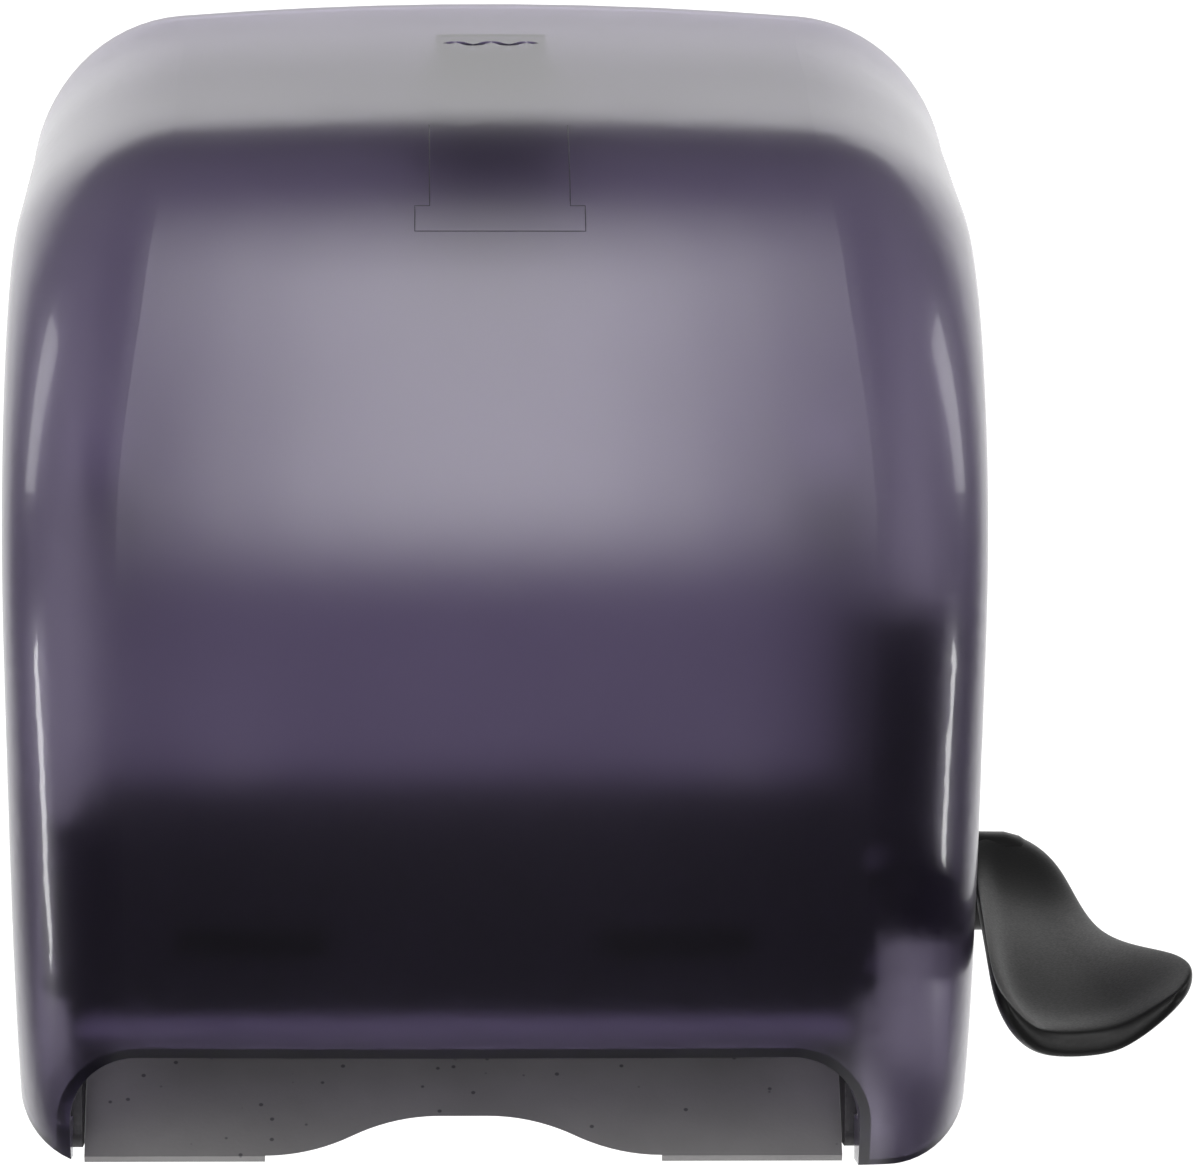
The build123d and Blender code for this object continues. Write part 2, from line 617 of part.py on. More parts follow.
def make_right_cheek():
    cheek = make_cheek(RIGHT_IN, RIGHT_OUT)
    cheek -= rod(LEVER_AXIS, LEVER_SHAFT_RADIUS + BUSH_WALL + FIXED_FIT, RIGHT_IN, RIGHT_OUT)
    for post in post_places():
        cheek -= rod(post, SCREW_RADIUS + FIXED_FIT, RIGHT_IN, RIGHT_OUT)
    return cheek


def make_tie_bar():
    """Bar between the cheeks, with a lip that leads the towel to the rollers."""
    spine = TIE_DEPTH + TIE_WALL / 2
    web = Pos(*at(spine, (TIE_FOOT + TIE_TOP) / 2)) * Rectangle(TIE_WALL, TIE_TOP - TIE_FOOT)
    tip = at(spine + TIE_LIP_REACH, TIE_TOP + TIE_LIP_RISE)
    lip = [
        Line(at(spine, TIE_TOP - TIE_LIP_ROOT), at(spine, TIE_TOP)),
        TangentArc(at(spine, TIE_TOP), tip, tangent=(0, 1)),
    ]
    return along_x(web + trace(lip, TIE_WALL), LEFT_IN, RIGHT_IN)


def tyre_spans():
    """x ranges of the roller bands, centred in the feed unit."""
    lengths = [share * FEED_WIDTH for share in TYRE_SHARES]
    total = sum(lengths) + TYRE_GAP * (len(lengths) - 1)
    start = FEED_CENTRE - total / 2
    spans = []
    for length in lengths:
        spans.append((start, start + length))
        start += length + TYRE_GAP
    return spans


def make_front_panel():
    """Black panel before the rollers, with a return lip below that carries the tear bar."""
    left = LEFT_OUT - FRONT_PANEL_EAR
    right = RIGHT_OUT + FRONT_PANEL_EAR
    height = FRONT_PANEL_TOP - FRONT_PANEL_FOOT
    plate = Pos((left + right) / 2, FRONT_PANEL_FOOT + height / 2) * Rectangle(right - left, height)
    plate = fillet(plate.vertices(), FRONT_PANEL_CORNER)
    spans = tyre_spans()
    for before, after in zip(spans, spans[1:]):
        plate -= Pos((before[1] + after[0]) / 2, FRONT_PANEL_TOP) * Rectangle(TYRE_GAP, 2 * FRONT_NOTCH)
    for start, end in (spans[0], spans[-1]):
        window = SlotOverall(WINDOW_SHARE * (end - start), WINDOW_WIDTH)
        plate -= Pos((start + end) / 2, FRONT_PANEL_FOOT + WINDOW_HEIGHT) * window
    panel = along_y(plate, CHEEK_FRONT, FRONT_PANEL_DEPTH)
    lip_x = (LEFT_IN + SIDE_FIT, RIGHT_IN - SIDE_FIT)
    panel += block(lip_x, (TEAR_LIP_DEPTH, FRONT_PANEL_DEPTH),
                   (FRONT_PANEL_FOOT, FRONT_PANEL_FOOT + PANEL_PLATE))
    panel += block(lip_x, (TEAR_LIP_DEPTH, TEAR_LIP_DEPTH + PANEL_PLATE),
                   (FRONT_PANEL_FOOT - TEAR_LIP_DROP, FRONT_PANEL_FOOT))
    panel -= holes_y(panel_screw_places(), CHEEK_FRONT, FRONT_PANEL_DEPTH)
    return panel - holes_y(tear_screw_places(), TEAR_LIP_DEPTH, TEAR_LIP_DEPTH + PANEL_PLATE)


def tear_screw_places():
    """Front-view places of the tear bar's screws."""
    height = FRONT_PANEL_FOOT - TEAR_SCREW_DROP
    return [(FEED_CENTRE + side * FEED_WIDTH * TEAR_SCREW_SPREAD, height) for side in (-1, 0, 1)]


def make_tear_bar():
    """Serrated steel strip behind the lip, teeth down."""
    left = LEFT_IN + SIDE_FIT
    top = FRONT_PANEL_FOOT + PANEL_PLATE
    foot = top - TEAR_BAR_HEIGHT
    count = int((FEED_WIDTH - 2 * SIDE_FIT) // TOOTH_PITCH)
    margin = (FEED_WIDTH - 2 * SIDE_FIT - count * TOOTH_PITCH) / 2
    points = [(left, top), (left, foot)]
    for step in range(count):
        start = left + margin + step * TOOTH_PITCH
        points += [(start, foot), (start + TOOTH_PITCH / 2, foot - TOOTH_DEPTH)]
    right = RIGHT_IN - SIDE_FIT
    points += [(right - margin, foot), (right, foot), (right, top)]
    unique = [point for step, point in enumerate(points) if step == 0 or point != points[step - 1]]
    strip = along_y(make_face(Polyline(*unique, close=True)), TEAR_LIP_DEPTH - TEAR_BAR_WALL, TEAR_LIP_DEPTH)
    return strip - holes_y(tear_screw_places(), TEAR_LIP_DEPTH - TEAR_BAR_WALL, TEAR_LIP_DEPTH)


def make_tear_bar_screws():
    """Screws driven forward through the tear bar into the lip."""
    screws = []
    seat = TEAR_LIP_DEPTH - TEAR_BAR_WALL
    for place in tear_screw_places():
        head = along_y(Pos(*place) * Circle(TEAR_SCREW_HEAD_RADIUS), seat - TEAR_SCREW_HEAD, seat)
        shank = along_y(Pos(*place) * Circle(SCREW_RADIUS), seat, TEAR_LIP_DEPTH + PANEL_PLATE)
        screws.append(head + shank)
    return screws


def make_apron():
    """Sheet behind the mouth: a shelf off the wall panel, bent down, scalloped at its foot."""
    path = FilletPolyline(
        at(PANEL_WALL, APRON_SHELF_HEIGHT), at(APRON_SHELF_DEPTH, APRON_SHELF_HEIGHT),
        at(APRON_FOOT_DEPTH, APRON_FOOT), radius=APRON_BEND,
    )
    apron = along_x(trace(path, APRON_WALL), LEFT_IN + SIDE_FIT, RIGHT_IN - SIDE_FIT)
    half = SCALLOP_WIDTH / 2
    crest = SCALLOP_FLAT / 2
    middle = ((half + crest) / 2, SCALLOP_HEIGHT / 2)
    drop = -SCALLOP_HEIGHT
    rise_in = TangentArc((half, 0), middle, tangent=(-1, 0))
    rise_out = TangentArc((crest, SCALLOP_HEIGHT), middle, tangent=(1, 0))
    top = Line((crest, SCALLOP_HEIGHT), (-crest, SCALLOP_HEIGHT))
    right = [rise_in, rise_out]
    left = [mirror(edge, Plane.YZ) for edge in right]
    foot = Polyline((half, 0), (half, drop), (-half, drop), (-half, 0))
    scallop = make_face([*right, top, *left, *foot.edges()])
    return apron - along_y(Pos(FEED_CENTRE, FOOT_CUT) * scallop, PANEL_WALL, CASE_DEPTH)


# Rollers

def make_drive_core():
    """Spool under the rubber bands: a thin barrel with three webs on the shaft."""
    spans = tyre_spans()
    left, right = spans[0][0], spans[-1][1]
    core = tube(DRIVE_AXIS, CORE_RADIUS, CORE_RADIUS - CORE_WALL, left, right)
    for x in (left, (left + right - CORE_WALL) / 2, right - CORE_WALL):
        core += tube(DRIVE_AXIS, CORE_RADIUS - CORE_WALL, DRIVE_SHAFT_RADIUS + FIXED_FIT, x, x + CORE_WALL)
    return core


def make_drive_tyres():
    inner = CORE_RADIUS + FIXED_FIT
    bands = []
    for left, right in tyre_spans():
        band = tube(DRIVE_AXIS, TYRE_RADIUS, inner, left, right)
        rims = band.edges().filter_by(GeomType.CIRCLE).sort_by(SortBy.RADIUS)[-2:]
        bands.append(chamfer(rims, TYRE_CHAMFER))
    return bands


def make_drive_shaft():
    left = LEFT_OUT - BUSH_FLANGE_WALL - SHAFT_TAIL
    seat = clip_span(GEAR_X + GEAR_WIDTH)
    shaft = rod(DRIVE_AXIS, DRIVE_SHAFT_RADIUS, left, seat[1] + SHAFT_TAIL)
    shaft = chamfer(shaft.edges(), SHAFT_CHAMFER)
    return shaft - tube(DRIVE_AXIS, DRIVE_SHAFT_RADIUS + CLIP_REACH, DRIVE_SHAFT_RADIUS - CLIP_GROOVE, *seat)


def clip_span(seat):
    """x range of a ring that sits just outside a face."""
    return (seat + SIDE_FIT, seat + SIDE_FIT + CLIP_WALL)


def clip(axis, shaft_radius, x_from, x_to, opening):
    """Open retaining ring in a shaft's groove."""
    ring = Pos(*axis) * (Circle(shaft_radius + CLIP_REACH) - Circle(shaft_radius - CLIP_GROOVE + FIXED_FIT))
    gap = Pos(*axis) * Rot(0, 0, opening) * Pos(shaft_radius, 0) * Rectangle(2 * shaft_radius, shaft_radius)
    return along_x(ring - gap, x_from, x_to)


def flanged_bush(axis, shaft_radius, seat, through):
    """Bearing bush in a plate, its flange against the face at seat and its sleeve running to through."""
    bore = shaft_radius + RUNNING_FIT
    sleeve = shaft_radius + BUSH_WALL
    side = 1 if seat > through else -1
    bush = tube(axis, sleeve, bore, through, seat)
    return bush + tube(axis, sleeve + BUSH_FLANGE, bore, seat, seat + side * BUSH_FLANGE_WALL)


def make_pinch_shaft():
    left = LEFT_IN + YOKE_END_GAP / 2
    right = RIGHT_IN - YOKE_END_GAP / 2
    return chamfer(rod(PINCH_AXIS, PINCH_SHAFT_RADIUS, left, right).edges(), SHAFT_CHAMFER)


def make_pinch_rolls():
    bore = PINCH_SHAFT_RADIUS + FIXED_FIT
    rolls = []
    for left, right in tyre_spans():
        roll = tube(PINCH_AXIS, PINCH_RADIUS, bore, left, right)
        rims = roll.edges().filter_by(GeomType.CIRCLE).sort_by(SortBy.RADIUS)[-2:]
        rolls.append(fillet(rims, PINCH_ROUND))
    return rolls


def spring_x():
    """x stations of the two pinch springs, clear of the rolls."""
    left_roll = tyre_spans()[0][0]
    right_roll = tyre_spans()[-1][1]
    left_arm = LEFT_IN + YOKE_END_GAP + YOKE_WALL
    right_arm = RIGHT_IN - YOKE_END_GAP - YOKE_WALL
    return ((left_arm + left_roll) / 2, (right_arm + right_roll) / 2)


def spring_pad_depth():
    """Depth of the face of the yoke that the pinch springs press on."""
    return PINCH_DEPTH - YOKE_TUBE_RADIUS - SPRING_PAD_WALL


def make_pinch_yoke():
    """Tube on the pivot rod with an arm at each end that holds the pinch shaft."""
    ends = (LEFT_IN + YOKE_END_GAP, RIGHT_IN - YOKE_END_GAP)
    yoke = rod(YOKE_AXIS, YOKE_TUBE_RADIUS, *ends)
    eye = Pos(*PINCH_AXIS) * Circle(YOKE_TUBE_RADIUS)
    root = Pos(*YOKE_AXIS) * Circle(YOKE_TUBE_RADIUS)
    arm = make_hull(eye.edges() + root.edges())
    pad_depths = (spring_pad_depth(), spring_pad_depth() + SPRING_PAD_WALL)
    pad_reach = PINCH_SPRING_RADIUS + 2 * PINCH_SPRING_WIRE
    for end, inward, x_spring in zip(ends, (1, -1), spring_x()):
        yoke += along_x(arm, end, end + inward * YOKE_WALL)
        x_range = sorted((end, x_spring + inward * pad_reach / 2))
        heights = (SPRING_HEIGHT - pad_reach, SPRING_HEIGHT + pad_reach)
        yoke += block(x_range, pad_depths, heights)
    yoke -= rod(YOKE_AXIS, PINCH_SHAFT_RADIUS + RUNNING_FIT, *ends)
    return yoke - rod(PINCH_AXIS, PINCH_SHAFT_RADIUS + RUNNING_FIT, *ends)


# Springs

def biarc(start, start_way, end, end_way):
    """Two arcs that leave start along one direction and reach end along another."""
    span = end - start
    ways = start_way + end_way
    spread = 2 * (1 - start_way.dot(end_way))
    lean = span.dot(ways)
    reach = (-lean + math.sqrt(lean ** 2 + spread * span.dot(span))) / spread
    first = start + start_way * reach
    last = end - end_way * reach
    middle = (first + last) * 0.5
    return [
        Edge.make_tangent_arc(start, start_way, middle),
        Edge.make_tangent_arc(middle, (last - first).normalized(), end),
    ]


def coil(radius, wire, pitch, turns, leg=0.0):
    """Wound spring along z from the origin, swept on quarter-turn biarcs, with straight tangent legs."""
    steps = round(turns * 4)
    climb = pitch / (2 * math.pi * radius)
    places = []
    for step in range(steps + 1):
        angle = step * math.pi / 2
        place = Vector(radius * math.cos(angle), radius * math.sin(angle), pitch * step / 4)
        way = Vector(-math.sin(angle), math.cos(angle), climb).normalized()
        places.append((place, way))
    edges = []
    for (start, start_way), (end, end_way) in zip(places, places[1:]):
        edges += biarc(start, start_way, end, end_way)
    if leg:
        start, start_way = places[0]
        end, end_way = places[-1]
        edges.insert(0, Edge.make_line(start - start_way * leg, start))
        edges.append(Edge.make_line(end, end + end_way * leg))
    path = Wire(edges)
    section = Plane(origin=path @ 0, z_dir=path % 0) * Circle(wire)
    print(f"spring of {turns:g} turns: gap between turns {pitch - 2 * wire:.2f} mm")
    return sweep(section, path=path)


def make_lever_spring():
    """Torsion spring round the lever's shaft, between the sector and the guard."""
    lead = LEVER_SPRING_LEG * LEVER_SPRING_PITCH / (2 * math.pi * LEVER_SPRING_RADIUS)
    start = GEAR_X + GEAR_WIDTH + LEVER_SPRING_WIRE + lead + SIDE_FIT
    spring = coil(LEVER_SPRING_RADIUS, LEVER_SPRING_WIRE, LEVER_SPRING_PITCH, LEVER_SPRING_TURNS,
                  LEVER_SPRING_LEG)
    place = Plane(origin=(start, *LEVER_AXIS), x_dir=(0, -1, 0), z_dir=(1, 0, 0))
    return place * spring


def make_pinch_springs():
    length = spring_pad_depth() - TIE_DEPTH - TIE_WALL - 2 * PINCH_SPRING_WIRE - 2 * SIDE_FIT
    springs = []
    for x in spring_x():
        spring = coil(PINCH_SPRING_RADIUS, PINCH_SPRING_WIRE, length / PINCH_SPRING_TURNS, PINCH_SPRING_TURNS)
        depth = TIE_DEPTH + TIE_WALL + PINCH_SPRING_WIRE + SIDE_FIT
        springs.append(Plane(origin=(x, -depth, SPRING_HEIGHT), z_dir=(0, -1, 0)) * spring)
    return springs


def make_latch_spring():
    floor = LATCH_TOP - GUIDE_DROP
    length = LATCH_TOP - LATCH_HEIGHT - floor - 2 * LATCH_SPRING_WIRE - 2 * SIDE_FIT
    spring = coil(LATCH_SPRING_RADIUS, LATCH_SPRING_WIRE, length / LATCH_SPRING_TURNS, LATCH_SPRING_TURNS)
    depth = (LATCH_BACK + GUIDE_FLOOR_DEPTH) / 2
    return Pos(0, -depth, floor + LATCH_SPRING_WIRE + SIDE_FIT) * spring


# Gears

def involute(angle):
    return math.tan(angle) - angle


def tooth_face(teeth):
    """One gear tooth pointing along +x from the gear's centre, with arcs for its flanks."""
    pitch = MODULE * teeth / 2
    pressure = math.radians(PRESSURE_ANGLE)
    base = pitch * math.cos(pressure)
    root = pitch - DEDENDUM * MODULE
    tip = pitch + MODULE
    half = math.pi / (2 * teeth) - BACKLASH / (2 * pitch) + involute(pressure)

    def flank(radius, side):
        lean = involute(math.acos(min(1.0, base / radius)))
        angle = side * (half - lean)
        return (radius * math.cos(angle), radius * math.sin(angle))

    start = max(root, base)
    middle = (start + tip) / 2
    inner = root - TOOTH_HEEL * MODULE
    low = (inner * math.cos(half), inner * math.sin(half)) if root < base else flank(root, 1)
    heel = (low[0] - TOOTH_HEEL * MODULE, low[1])
    return make_face([
        ThreePointArc(flank(start, -1), flank(middle, -1), flank(tip, -1)),
        Line(flank(tip, -1), flank(tip, 1)),
        ThreePointArc(flank(tip, 1), flank(middle, 1), flank(start, 1)),
        Polyline(flank(start, 1), heel, (heel[0], -heel[1]), flank(start, -1)),
    ])


def make_sector_gear():
    """Toothed sector on the lever's shaft, with a hub and a lightening window."""
    step = 360 / SECTOR_TEETH
    first = -SPARE_TEETH
    last = math.ceil(LEVER_STROKE / step) + SPARE_TEETH
    root = PITCH_SECTOR - DEDENDUM * MODULE
    low = math.radians(180 - (first - 1) * step)
    high = math.radians(180 - (last + 1) * step)
    far = 2 * PITCH_SECTOR
    wedge = make_face(Polyline(
        (0, 0), (far * math.cos(low), far * math.sin(low)),
        (far * math.cos(high), far * math.sin(high)), close=True,
    ))
    web = Circle(root) & wedge
    window = RectangleRounded(*[root * share for share in SECTOR_WINDOW], SECTOR_WINDOW_CORNER)
    window = Rot(0, 0, math.degrees(low + high) / 2) * Pos(root * SECTOR_WINDOW_REACH, 0) * window
    web = web - window + Circle(LEVER_SHAFT_RADIUS + 2 * BUSH_WALL)
    for tooth in range(first, last + 1):
        web += Rot(0, 0, 180 - tooth * step) * tooth_face(SECTOR_TEETH)
    gear = along_x(Pos(*LEVER_AXIS) * web, GEAR_X, GEAR_X + GEAR_WIDTH)
    hub_start = RIGHT_OUT + BUSH_FLANGE_WALL + SIDE_FIT
    gear += rod(LEVER_AXIS, LEVER_SHAFT_RADIUS + 2 * BUSH_WALL, hub_start, GEAR_X)
    return gear - rod(LEVER_AXIS, LEVER_SHAFT_RADIUS + FIXED_FIT, hub_start, GEAR_X + GEAR_WIDTH)


def pinion_hub_start():
    return RIGHT_OUT + BUSH_FLANGE_WALL + SIDE_FIT


def make_pinion():
    """Small gear whose hub holds the one-way clutch. A gap between teeth faces the sector."""
    step = 360 / PINION_TEETH
    profile = Circle(PITCH_PINION - DEDENDUM * MODULE)
    for tooth in range(PINION_TEETH):
        profile += Rot(0, 0, (tooth + 0.5) * step) * tooth_face(PINION_TEETH)
    pinion = along_x(Pos(*DRIVE_AXIS) * profile, GEAR_X, GEAR_X + GEAR_WIDTH)
    clutch = DRIVE_SHAFT_RADIUS + CLUTCH_WALL + FIXED_FIT
    pinion += rod(DRIVE_AXIS, clutch + PINION_HUB_WALL, pinion_hub_start(), GEAR_X)
    pinion -= rod(DRIVE_AXIS, clutch, pinion_hub_start(), GEAR_X)
    return pinion - rod(DRIVE_AXIS, DRIVE_SHAFT_RADIUS + RUNNING_FIT, GEAR_X, GEAR_X + GEAR_WIDTH)


def make_one_way_clutch():
    outer = DRIVE_SHAFT_RADIUS + CLUTCH_WALL
    return tube(DRIVE_AXIS, outer, DRIVE_SHAFT_RADIUS + RUNNING_FIT, pinion_hub_start(), GEAR_X - SIDE_FIT)


# Gear guard

def post_places():
    """Side-view places of the guard's two screw posts."""
    return [at(GUARD_BACK + POST_INSET, POST_HEIGHT), at(GUARD_FRONT - POST_INSET, POST_HEIGHT)]


def make_gear_guard():
    """Dark case over the gears, open below and towards the feed unit."""
    size = (GUARD_FRONT - GUARD_BACK, GUARD_TOP - GUARD_FOOT)
    centre = at((GUARD_FRONT + GUARD_BACK) / 2, (GUARD_TOP + GUARD_FOOT) / 2)
    outline = Pos(*centre) * Rectangle(*size)
    outline = fillet(outline.vertices().sort_by(Axis.Y)[-2:], GUARD_CORNER)
    inside = offset(outline, -GUARD_WALL)
    below = Pos(*at((GUARD_FRONT + GUARD_BACK) / 2, GUARD_FOOT))
    below = below * Rectangle(size[0] - 2 * GUARD_WALL, 2 * GUARD_CORNER)
    guard = along_x(outline, RIGHT_OUT, GUARD_X)
    guard -= along_x(inside + below, RIGHT_OUT, GUARD_X - GUARD_WALL)
    for post in post_places():
        guard += rod(post, POST_RADIUS, RIGHT_OUT, GUARD_X - GUARD_WALL)
        guard -= rod(post, SCREW_RADIUS + FIXED_FIT, RIGHT_OUT, GUARD_X)
        guard -= rod(post, SCREW_HEAD_RADIUS + SIDE_FIT, GUARD_X - SCREW_HEAD, GUARD_X)
    outer_edges = guard.faces().sort_by(Axis.X)[-1].outer_wire().edges()
    guard = fillet(outer_edges, GUARD_ROUND)
    bush = LEVER_SHAFT_RADIUS + BUSH_WALL + FIXED_FIT
    return guard - rod(LEVER_AXIS, bush, GUARD_X - GUARD_WALL, GUARD_X)


def make_guard_screws():
    screws = []
    for post in post_places():
        head = rod(post, SCREW_HEAD_RADIUS, GUARD_X - SCREW_HEAD, GUARD_X)
        screws.append(head + rod(post, SCREW_RADIUS, RIGHT_IN + SIDE_FIT, GUARD_X - SCREW_HEAD))
    return screws


# Lever

def make_lever_shaft():
    seat = lever_clip_span()
    outer = LEVER_X + LEVER_SHAFT_END
    shaft = rod(LEVER_AXIS, LEVER_SHAFT_RADIUS, seat[0] - SHAFT_TAIL, outer)
    shaft = chamfer(shaft.edges(), SHAFT_CHAMFER)
    shaft -= tube(LEVER_AXIS, LEVER_SHAFT_RADIUS + CLIP_REACH, LEVER_SHAFT_RADIUS - CLIP_GROOVE, *seat)
    return shaft - rod(LEVER_AXIS, LEVER_SCREW_RADIUS + FIXED_FIT, outer - LEVER_SCREW_LENGTH, outer)


def lever_clip_span():
    """x range of the ring inside the right cheek."""
    return (RIGHT_IN - SIDE_FIT - CLIP_WALL, RIGHT_IN - SIDE_FIT)


def make_lever_screw():
    seat = LEVER_X + LEVER_SHAFT_END + LEVER_SCREW_SEAT
    head = rod(LEVER_AXIS, LEVER_SCREW_HEAD_RADIUS, seat, seat + LEVER_SCREW_HEAD)
    head = fillet(head.faces().sort_by(Axis.X)[-1].edges(), LEVER_SCREW_ROUND)
    end = LEVER_X + LEVER_SHAFT_END - LEVER_SCREW_LENGTH + LEVER_SCREW_SHORT
    return head + rod(LEVER_AXIS, LEVER_SCREW_RADIUS, end, seat)


# Sections of the lever's blade, from its hub to its nose: depth, then the inner edge, the middle of the
# scoop and the outer edge in front view, measured out from LEVER_X and up from the foot, then thickness.
BLADE = (
    (48.0, (7.0, 80.5), (12.5, 78.5), (18.0, 79.5), 13.5),
    (80.0, (6.2, 77.5), (13.0, 71.0), (22.5, 75.0), 11.5),
    (112.0, (5.2, 72.0), (13.0, 61.5), (26.5, 69.0), 10.5),
    (144.0, (3.6, 66.5), (14.0, 52.5), (32.0, 63.5), 9.5),
    (170.0, (1.2, 61.5), (16.5, 46.0), (40.5, 61.5), 8.5),
    (188.0, (-2.4, 57.0), (19.0, 41.5), (48.8, 59.0), 8.0),
    (197.0, (0.0, 52.0), (19.5, 41.0), (44.5, 53.5), 6.0),
)


def blade_section(depth, inner, middle, outer, thickness):
    """Curved slot across the blade at one depth."""
    inner, middle, outer = [(LEVER_X + x, z) for x, z in (inner, middle, outer)]
    slot = SlotArc(ThreePointArc(inner, middle, outer), thickness)
    return Plane.XZ.offset(depth) * slot


def make_lever():
    """Scooped lever: an upright hub plate that twists forward into a flat paddle."""
    lever = loft([blade_section(*row) for row in BLADE])
    hub = rod(LEVER_AXIS, LEVER_HUB_RADIUS, LEVER_X, LEVER_X + LEVER_HUB_WIDTH)
    hub = fillet(hub.edges().sort_by(Axis.X)[-1], LEVER_HUB_ROUND)
    nose = BLADE[-1][0]
    inner_side = make_face(Polyline(
        (LEVER_X, 0), (LEVER_X, -LEVER_DEPTH - LEVER_HUB_RADIUS), (LEVER_X - LEVER_TOE, -nose),
        (0, -nose), (0, 0), close=True,
    ))
    lever = lever - along_z(inner_side, 0, CASE_HEIGHT) + hub
    shaft_end = LEVER_X + LEVER_SHAFT_END
    seat = shaft_end + LEVER_SCREW_SEAT
    lever -= rod(LEVER_AXIS, LEVER_SHAFT_RADIUS + FIXED_FIT, LEVER_X, shaft_end)
    lever -= rod(LEVER_AXIS, LEVER_SCREW_RADIUS + FIXED_FIT, shaft_end, seat)
    return lever - rod(LEVER_AXIS, LEVER_SCREW_HEAD_RADIUS + SIDE_FIT, seat, LEVER_X + LEVER_HUB_WIDTH)


# Roll arms

def arm_screw_places():
    """Front-view places of the screws of the two arm bases."""
    rise = ARM_ROOT_HEIGHT / 2 - ARM_SCREW_INSET
    left = ARM_LEFT + ARM_BASE_WIDTH / 2
    right = ARM_RIGHT + ARM_WALL + ARM_BASE_WIDTH / 2
    return [(x, z) for x in (left, right) for z in (ROLL_HEIGHT - rise, ROLL_HEIGHT + rise)]


def arm_outline(root_depth, root_height):
    """Side view of an arm, from its root to a round end on the roll's axis."""
    tip = Pos(*ROLL_AXIS) * Circle(ARM_TIP_RADIUS)
    root = Pos(*at(root_depth + ARM_ROOT_WALL / 2, ROLL_HEIGHT)) * Rectangle(ARM_ROOT_WALL, root_height)
    return make_hull(tip.edges() + root.edges())


def hub_pin(face_x, inward):
    """Stub that a hub turns on, with a groove for its ring."""
    end = face_x + inward * (HUB_LENGTH + 2 * SIDE_FIT + CLIP_WALL + HUB_PIN_TAIL)
    pin = chamfer(rod(ROLL_AXIS, HUB_PIN_RADIUS, face_x, end).edges(), SHAFT_CHAMFER)
    seat = hub_clip_span(face_x, inward)
    return pin - tube(ROLL_AXIS, HUB_PIN_RADIUS + CLIP_REACH, HUB_PIN_RADIUS - CLIP_GROOVE, *seat)


def hub_clip_span(face_x, inward):
    seat = face_x + inward * (HUB_LENGTH + 2 * SIDE_FIT)
    return sorted((seat, seat + inward * CLIP_WALL))


def make_right_arm():
    arm = along_x(arm_outline(PANEL_WALL, ARM_ROOT_HEIGHT), ARM_RIGHT, ARM_RIGHT + ARM_WALL)
    arm += hub_pin(ARM_RIGHT, -1)
    heights = (ROLL_HEIGHT - ARM_ROOT_HEIGHT / 2, ROLL_HEIGHT + ARM_ROOT_HEIGHT / 2)
    base = (PANEL_WALL, PANEL_WALL + FLANGE_WALL)
    arm += block((ARM_RIGHT + ARM_WALL, ARM_RIGHT + ARM_WALL + ARM_BASE_WIDTH), base, heights)
    return arm - holes_y(arm_screw_places(), *base)


def knuckle_place():
    """Plan place of the left arm's pivot."""
    return (ARM_LEFT - ARM_WALL / 2, -ARM_KNUCKLE_DEPTH)


def knuckle_heights():
    half = ARM_ROOT_HEIGHT / 2 - ARM_LUG - SIDE_FIT
    return (ROLL_HEIGHT - half, ROLL_HEIGHT + half)


def make_left_arm():
    low, high = knuckle_heights()
    arm = along_x(arm_outline(ARM_KNUCKLE_DEPTH, high - low), ARM_LEFT - ARM_WALL, ARM_LEFT)
    arm += hub_pin(ARM_LEFT, 1)
    arm += along_z(Pos(*knuckle_place()) * Circle(ARM_KNUCKLE_RADIUS), low, high)
    return arm - along_z(Pos(*knuckle_place()) * Circle(ARM_PIN_RADIUS + RUNNING_FIT), low, high)


def make_left_arm_bracket():
    low, high = knuckle_heights()
    x, _ = knuckle_place()
    top = ROLL_HEIGHT + ARM_ROOT_HEIGHT / 2
    foot = ROLL_HEIGHT - ARM_ROOT_HEIGHT / 2
    plate = (x - ARM_KNUCKLE_RADIUS, ARM_LEFT + ARM_BASE_WIDTH)
    bracket = block(plate, (PANEL_WALL, PANEL_WALL + FLANGE_WALL), (foot, top))
    lug = Pos(*knuckle_place()) * Circle(ARM_KNUCKLE_RADIUS)
    root = Pos(x, -PANEL_WALL - FLANGE_WALL / 2) * Rectangle(2 * ARM_KNUCKLE_RADIUS, FLANGE_WALL)
    lug = make_hull(lug.edges() + root.edges())
    bracket += along_z(lug, foot, low - SIDE_FIT)
    bracket += along_z(lug, high + SIDE_FIT, top)
    bracket -= along_z(Pos(*knuckle_place()) * Circle(ARM_PIN_RADIUS + FIXED_FIT), foot, top)
    return bracket - holes_y(arm_screw_places(), PANEL_WALL, PANEL_WALL + FLANGE_WALL)


def make_left_arm_pin():
    half = ARM_ROOT_HEIGHT / 2
    return along_z(Pos(*knuckle_place()) * Circle(ARM_PIN_RADIUS), ROLL_HEIGHT - half, ROLL_HEIGHT + half)


def make_hub(face_x, inward):
    """Tapered plug for the roll's core, with a flange against the arm."""
    start = SIDE_FIT
    end = SIDE_FIT + HUB_LENGTH
    bore = HUB_PIN_RADIUS + RUNNING_FIT
    rim = start + HUB_FLANGE_WALL
    outline = make_face(Polyline(
        (start, bore), (start, HUB_FLANGE_RADIUS), (rim, HUB_FLANGE_RADIUS), (rim, HUB_RADIUS),
        (end, HUB_NOSE_RADIUS), (end, HUB_NOSE_RADIUS - HUB_WALL), (rim + HUB_WEB, HUB_RADIUS - HUB_WALL),
        (rim + HUB_WEB, bore + HUB_WALL), (end, bore + HUB_WALL), (end, bore), close=True,
    ))
    hub = revolve(outline, Axis.X)
    if inward < 0:
        hub = mirror(hub, Plane.YZ)
    return Pos(face_x, *ROLL_AXIS) * hub


# Latch

